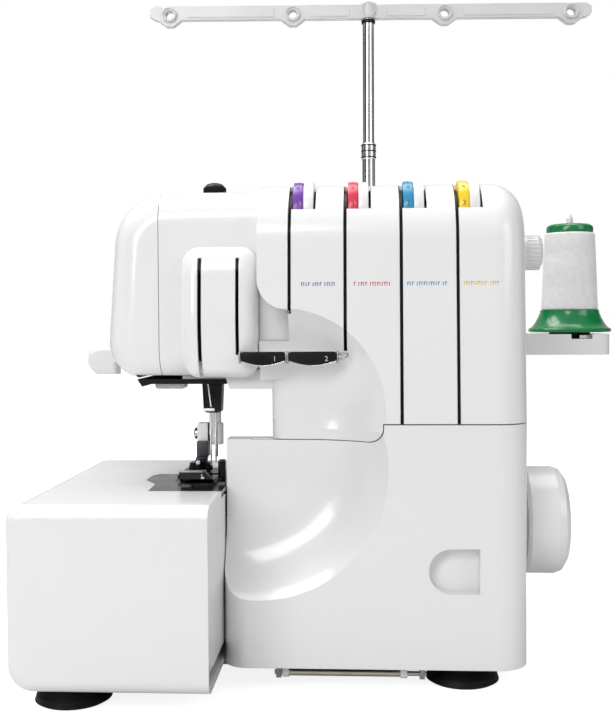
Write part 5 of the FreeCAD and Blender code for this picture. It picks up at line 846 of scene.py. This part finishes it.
def makeClamp(s):
    low, high = boxOf("needle_clamp")
    back, front = high[1], high[1] - s["depth"]
    middle, half = (low[0] + high[0]) / 2, (high[0] - low[0]) / 2

    def ring(wide, lead):
        turns = [math.radians(turn) for turn in range(-75, 76, 15)]
        arc = [(middle + wide * math.sin(turn), lead + s["bow"] * (1 - math.cos(turn))) for turn in turns]
        return [(middle - wide, back)] + arc + [(middle + wide, back)]

    work = bmesh.new()
    levels = (
        (s["chin"], half - s["chinInset"], front + 2.4), (s["rim"][0], half - s["taper"], front + 0.1),
        (s["rim"][1], half - s["taper"], front), (high[2], half, front),
    )
    rings = []
    for z, wide, lead in levels:
        rings.append([work.verts.new(Vector((x, y, z)) * mm) for x, y in ring(wide, lead)])
    count = len(rings[0])
    for under, over in zip(rings, rings[1:]):
        for step in range(count):
            after = (step + 1) % count
            work.faces.new((under[step], under[after], over[after], over[step]))
    work.faces.new(rings[0])
    work.faces.new(rings[-1])
    block = keepWork("clampBlock", work, "needle_unit", "dark_chrome")
    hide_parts("needle_clamp")

    # the rim band and the thin wire streak on the dark clamp are painted highlight
    work = bmesh.new()
    outline = [(x, y - 0.25) for x, y in ring(half - s["taper"] + 0.2, front) if x < s["rimRight"]]
    outline += [(x, y + 1.2) for x, y in reversed(outline)]
    addSlab(work, outline, "z", s["rim"][0], s["rim"][1], 0.25, 2)
    addWire(work, [(x, front - 0.25, z) for x, z in s["wire"]], s["wireRadius"])
    keepWork("clampPaintedGlare", work, "needle_unit", "painted_glare_chrome")

    work = bmesh.new()
    for x, z in s["sockets"]:
        rim = s["socketRadius"]
        profile = [(rim * 0.5, front - 0.1), (rim, front - 0.12), (rim, front + 1), (rim * 0.5, front + 1)]
        addTurned(work, profile, "y", (x, 0, z), 24, True)
    keepWork("clampSockets", work, "needle_unit", "black_plastic")


makeClamp(clamp)

# two needles, each with a thick shank, a thin blade and a point
needle = {"shank": 1.0, "blade": 0.6, "step": 146.0}


def makeNeedles(s):
    low, high = boxOf("needles")
    y, tip = (low[1] + high[1]) / 2, low[2]
    work = bmesh.new()
    for x in (low[0] + s["shank"], high[0] - s["shank"]):
        addTurned(work, [
            (0, tip), (s["blade"] * 0.5, tip + 1.2), (s["blade"], tip + 3.5), (s["blade"], s["step"]),
            (s["shank"], s["step"] + 1.5), (s["shank"], high[2]), (0, high[2]),
        ], "z", (x, y, 0), 24)
    pair = keepWork("needlePair", work, "needle_unit", "bright_chrome")
    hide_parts("needles")


makeNeedles(needle)
# the presser bar takes the chrome painted white: painted reflection
nodes["presser_bar"].material_slots[0].material = finishes["painted_glare_chrome"]

# presser ankle: block and ring in chrome painted white as painted glare, a lower block painted dark as
# painted shade, a dark cheek and needle-gap strip as painted shade, a dark pivot and a painted glint
ankle = {
    "block": ((-101.4, -25.0, 141.0), (-94.6, -15.0, 152.5)),
    "cheekShade": ((-94.9, -24.0, 138.6), (-93.6, -15.2, 152.4)), "ring": (3.1, 4.4, 138.6, 152.4),
    "bridge": ((-95.0, -22.0, 140.0), (-92.0, -15.4, 152.2)),
    "slate": ((-100.9, -31.0, 131.6), (-93.6, -15.2, 141.4)),
    "pivot": ((-100.7, 131.8), (-102.6, 124.6), (-94.6, 124.6), (-93.7, 131.8)),
    "line": ((-89.0, -24.3, 131.0), (-88.3, -23.0, 153.0)), "pin": (1.5, -105.5, -90.5),
    "paintedGlint": (-99.3, -35.4, 128.6),
}


def makeAnkle(s):
    low, high = boxOf("presser_bar")
    x, y = (low[0] + high[0]) / 2, (low[1] + high[1]) / 2
    inner, outer, under, over = s["ring"]
    work = bmesh.new()
    # block, bridge and ring get the chrome painted white: painted glare
    addBlock(work, *s["block"], 0.5)
    addBlock(work, *s["bridge"], 0.4)
    addTurned(work, [
        (inner, under), (outer - 0.4, under), (outer, under + 0.4), (outer, over - 0.4), (outer - 0.4, over),
        (inner, over),
    ], "z", (x, y, 0), 48, True)
    block = keepWork("ankleBlock", work, "presser", "painted_glare_chrome")
    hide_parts("presser_ankle")

    work = bmesh.new()
    # the lower ankle block, a darker copy of the same steel: painted shade
    addBlock(work, *s["slate"], 0.4)
    keepWork("anklePaintedShade", work, "presser", "painted_shade_steel")

    low, high = boxOf("presser_ankle")
    work = bmesh.new()
    # a dark cheek strip and a dark strip in the gap between the needles: painted shade; the pivot and pin
    # below are the real dark hinge
    addBlock(work, *s["cheekShade"], 0.3)
    addBlock(work, *s["line"], 0.2)
    addSlab(work, s["pivot"], "y", low[1] + 0.1, low[1] + 8, 0.5, 2)
    radius, left, right = s["pin"]
    addTurned(work, [
        (0, left), (radius - 0.3, left), (radius, left + 0.4), (radius, right - 0.4), (radius - 0.3, right),
        (0, right),
    ], "x", (0, low[1] + 3, low[2] + 1.5), 32)
    keepWork("anklePivotAndShade", work, "presser", "dark_chrome")
    work = bmesh.new()
    # a bright disc on the pivot: painted glint
    addTurned(work, [(0, -0.5), (1.1, -0.4), (1.4, 0), (1.4, 1), (0, 1)], "y", s["paintedGlint"], 24)
    keepWork("anklePaintedGlint", work, "presser", "painted_glare_chrome")


makeAnkle(ankle)

# the foot, with the right end of its toe cut away at a slant, a bright toe edge and two pale marks
presserFoot = {
    "toe": (-104.7, -90.2), "toeCut": 4.4, "toeZone": (1.0, 6.0, 4.0),
    "marks": (
        ((-91.7, -71.9, 125.7), (-90.7, -71.3, 126.3)),
        ((-91.9, -71.45, 123.7), (-89.9, -70.8, 124.9)),
    ),
}


def makeFoot(s):
    low, high = boxOf("presser_foot")
    right, back, under = s["toeZone"]
    mesh = nodes["presser_foot"].data.copy()
    for vert in mesh.vertices:
        spot = vert.co / mm
        if spot.x > high[0] - right and spot.y < low[1] + back and spot.z > high[2] - under:
            vert.co.x -= s["toeCut"] * mm
    foot = keepPiece("footBody", mesh, "foot", finishes["dark_chrome"])
    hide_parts("presser_foot")
    work = bmesh.new()
    left, right = s["toe"]
    addBlock(work, (left, low[1] - 0.12, high[2] - 0.9), (right, low[1] + 2.0, high[2] + 0.12), 0.2, 2)
    keepWork("footEdge", work, "foot", "tool_steel")
    work = bmesh.new()
    for corner, opposite in s["marks"]:
        addBlock(work, corner, opposite, 0.1, 2)
    keepWork("footMarks", work, "foot", "white_control")


makeFoot(presserFoot)

# knife holder around the moving knife
knife = {"low": 119.4, "high": 132.6, "wrap": 0.25, "back": 0.1}


def makeKnife(s):
    low, high = boxOf("upper_knife")
    work = bmesh.new()
    near = (low[0] - s["wrap"], low[1] - s["wrap"], s["low"])
    away = (high[0] + s["wrap"], high[1] - s["back"], s["high"])
    addBlock(work, near, away, 0.5)
    keepWork("knifeHolder", work, "moving_knife", "dark_chrome")


makeKnife(knife)
print("sewing parts made")

# rings on the pole, a crimp under the bar and rings on the bar's face
stand = {
    "ringDrops": (11.0, 6.5, 2.2), "ringRise": 0.35, "ringHeight": 1.1, "crimpDrop": 15.4, "eyeRadius": 5.0,
    "crimp": ((4.25, 0), (5.0, 0), (5.2, 0.6), (5.2, 2.0), (4.9, 2.6), (4.25, 2.6)),
    "eyes": ((-140.0, 448.9), (-47.0, 447.8), (9.5, 449.6), (66.0, 446.4), (159.0, 445.3)),
}


def makeStand(s):
    low, high = boxOf("pole_tube")
    x, y = (low[0] + high[0]) / 2, (low[1] + high[1]) / 2
    wide = (high[0] - low[0]) / 2
    work = bmesh.new()
    for drop in s["ringDrops"]:
        z = high[2] - drop
        addTurned(work, [
            (wide - 0.5, z), (wide + s["ringRise"] * 0.7, z + 0.15),
            (wide + s["ringRise"], z + s["ringHeight"] / 2),
            (wide + s["ringRise"] * 0.7, z + s["ringHeight"] - 0.15), (wide - 0.5, z + s["ringHeight"]),
        ], "z", (x, y, 0), 48, True)
    keepWork("poleRings", work, "machine", "dark_chrome")

    low, high = boxOf("thread_bar")
    work = bmesh.new()
    base = high[2] - s["crimpDrop"]
    profile = [(radius, base + rise) for radius, rise in s["crimp"]]
    addTurned(work, profile, "z", (x, y, 0), 40, True)
    keepWork("poleCrimp", work, "guide_bar", "dark_chrome")

    work = bmesh.new()
    radius, face = s["eyeRadius"], low[1]
    for x, z in s["eyes"]:
        addTurned(work, [
            (radius - 0.5, face - 0.1), (radius - 0.1, face - 0.35), (radius + 0.5, face - 0.1),
            (radius + 0.5, face + 1), (radius - 0.5, face + 1),
        ], "y", (x, 0, z), 40, True)
    keepWork("barRings", work, "guide_bar", "clear_bar")


makeStand(stand)

# black crosses painted as the shade in the cover screws' cross recesses, seen from behind
screwShade = {
    "length": 3.6, "width": 0.8, "depth": 0.5, "proud": 0.04, "rearFrom": 30.0, "cell": 12, "headDepth": 3,
}


def makeScrewMarks(s):
    heads = []
    shape = nodes["cover_screws"].data
    island = {}
    for vert in shape.vertices:
        spot = vert.co / mm
        key = (round(spot.x / s["cell"]), round(spot.z / s["cell"]))
        island.setdefault(key, []).append(spot)
    for spots in island.values():
        xs, ys, zs = ([spot[axis] for spot in spots] for axis in range(3))
        if max(ys) - min(ys) > s["headDepth"] and max(ys) > s["rearFrom"]:
            y = max(ys) - s["depth"] / 2 + s["proud"]
            heads.append(((max(xs) + min(xs)) / 2, y, (max(zs) + min(zs)) / 2))
    mesh = grown(recessTree, "screwRecessShade", {
        "Length": s["length"] * mm, "Width": s["width"] * mm, "Depth": s["depth"] * mm,
        "Finish": finishes["black_plastic"],
    }, sorted(heads))
    keepPiece("screwRecessShade", mesh, "machine", finishes["black_plastic"])
    print("screw recesses:", len(heads))


makeScrewMarks(screwShade)

# grip ribs and pointer on the stitch length knob, marks on the power switch
sideControls = {
    "ribs": 26, "ribWidth": 1.2, "ribLength": 8.0, "ribsIn": 5.5, "pointer": (0.9, 4.2), "markDeep": 0.9,
    "markProud": 0.05,
}


def makeSideControls(s):
    low, high = boxOf("stitch_length_knob")
    radius = (high[2] - low[2]) / 2
    centre = (high[0] - s["ribsIn"], (low[1] + high[1]) / 2, (low[2] + high[2]) / 2)
    ribs = ribsAbout("lengthKnobRibs", "x", centre, s["ribs"], radius - 0.25, s["ribLength"], s["ribWidth"],
                     finishes["white_control"])
    keepPiece("lengthKnobRibs", ribs, "length_dial", finishes["white_control"])
    work = bmesh.new()
    wide, long = s["pointer"]
    top = centre[2] + radius - 2
    near = (high[0] - 0.3, centre[1] - wide / 2, top - long)
    away = (high[0] + 0.1, centre[1] + wide / 2, top)
    addBlock(work, near, away, 0.08)
    keepWork("lengthPointer", work, "length_dial", "black_plastic")
    low, high = boxOf("power_switch")
    z = (low[2] + high[2]) / 2
    work = bmesh.new()
    deep, proud = high[0] - s["markDeep"], high[0] + s["markProud"]
    addBlock(work, (deep, low[1] + 3.4, z - 2.2), (proud, low[1] + 4.2, z + 2.2), 0.05)
    ring = [(1.3, deep), (2.1, deep), (2.1, proud), (1.3, proud)]
    addTurned(work, ring, "x", (0, high[1] - 4.2, z), 32, True)
    keepWork("switchMarks", work, "rocker", "white_control")


makeSideControls(sideControls)
print("side controls made")

scene.view_layers[0].update()
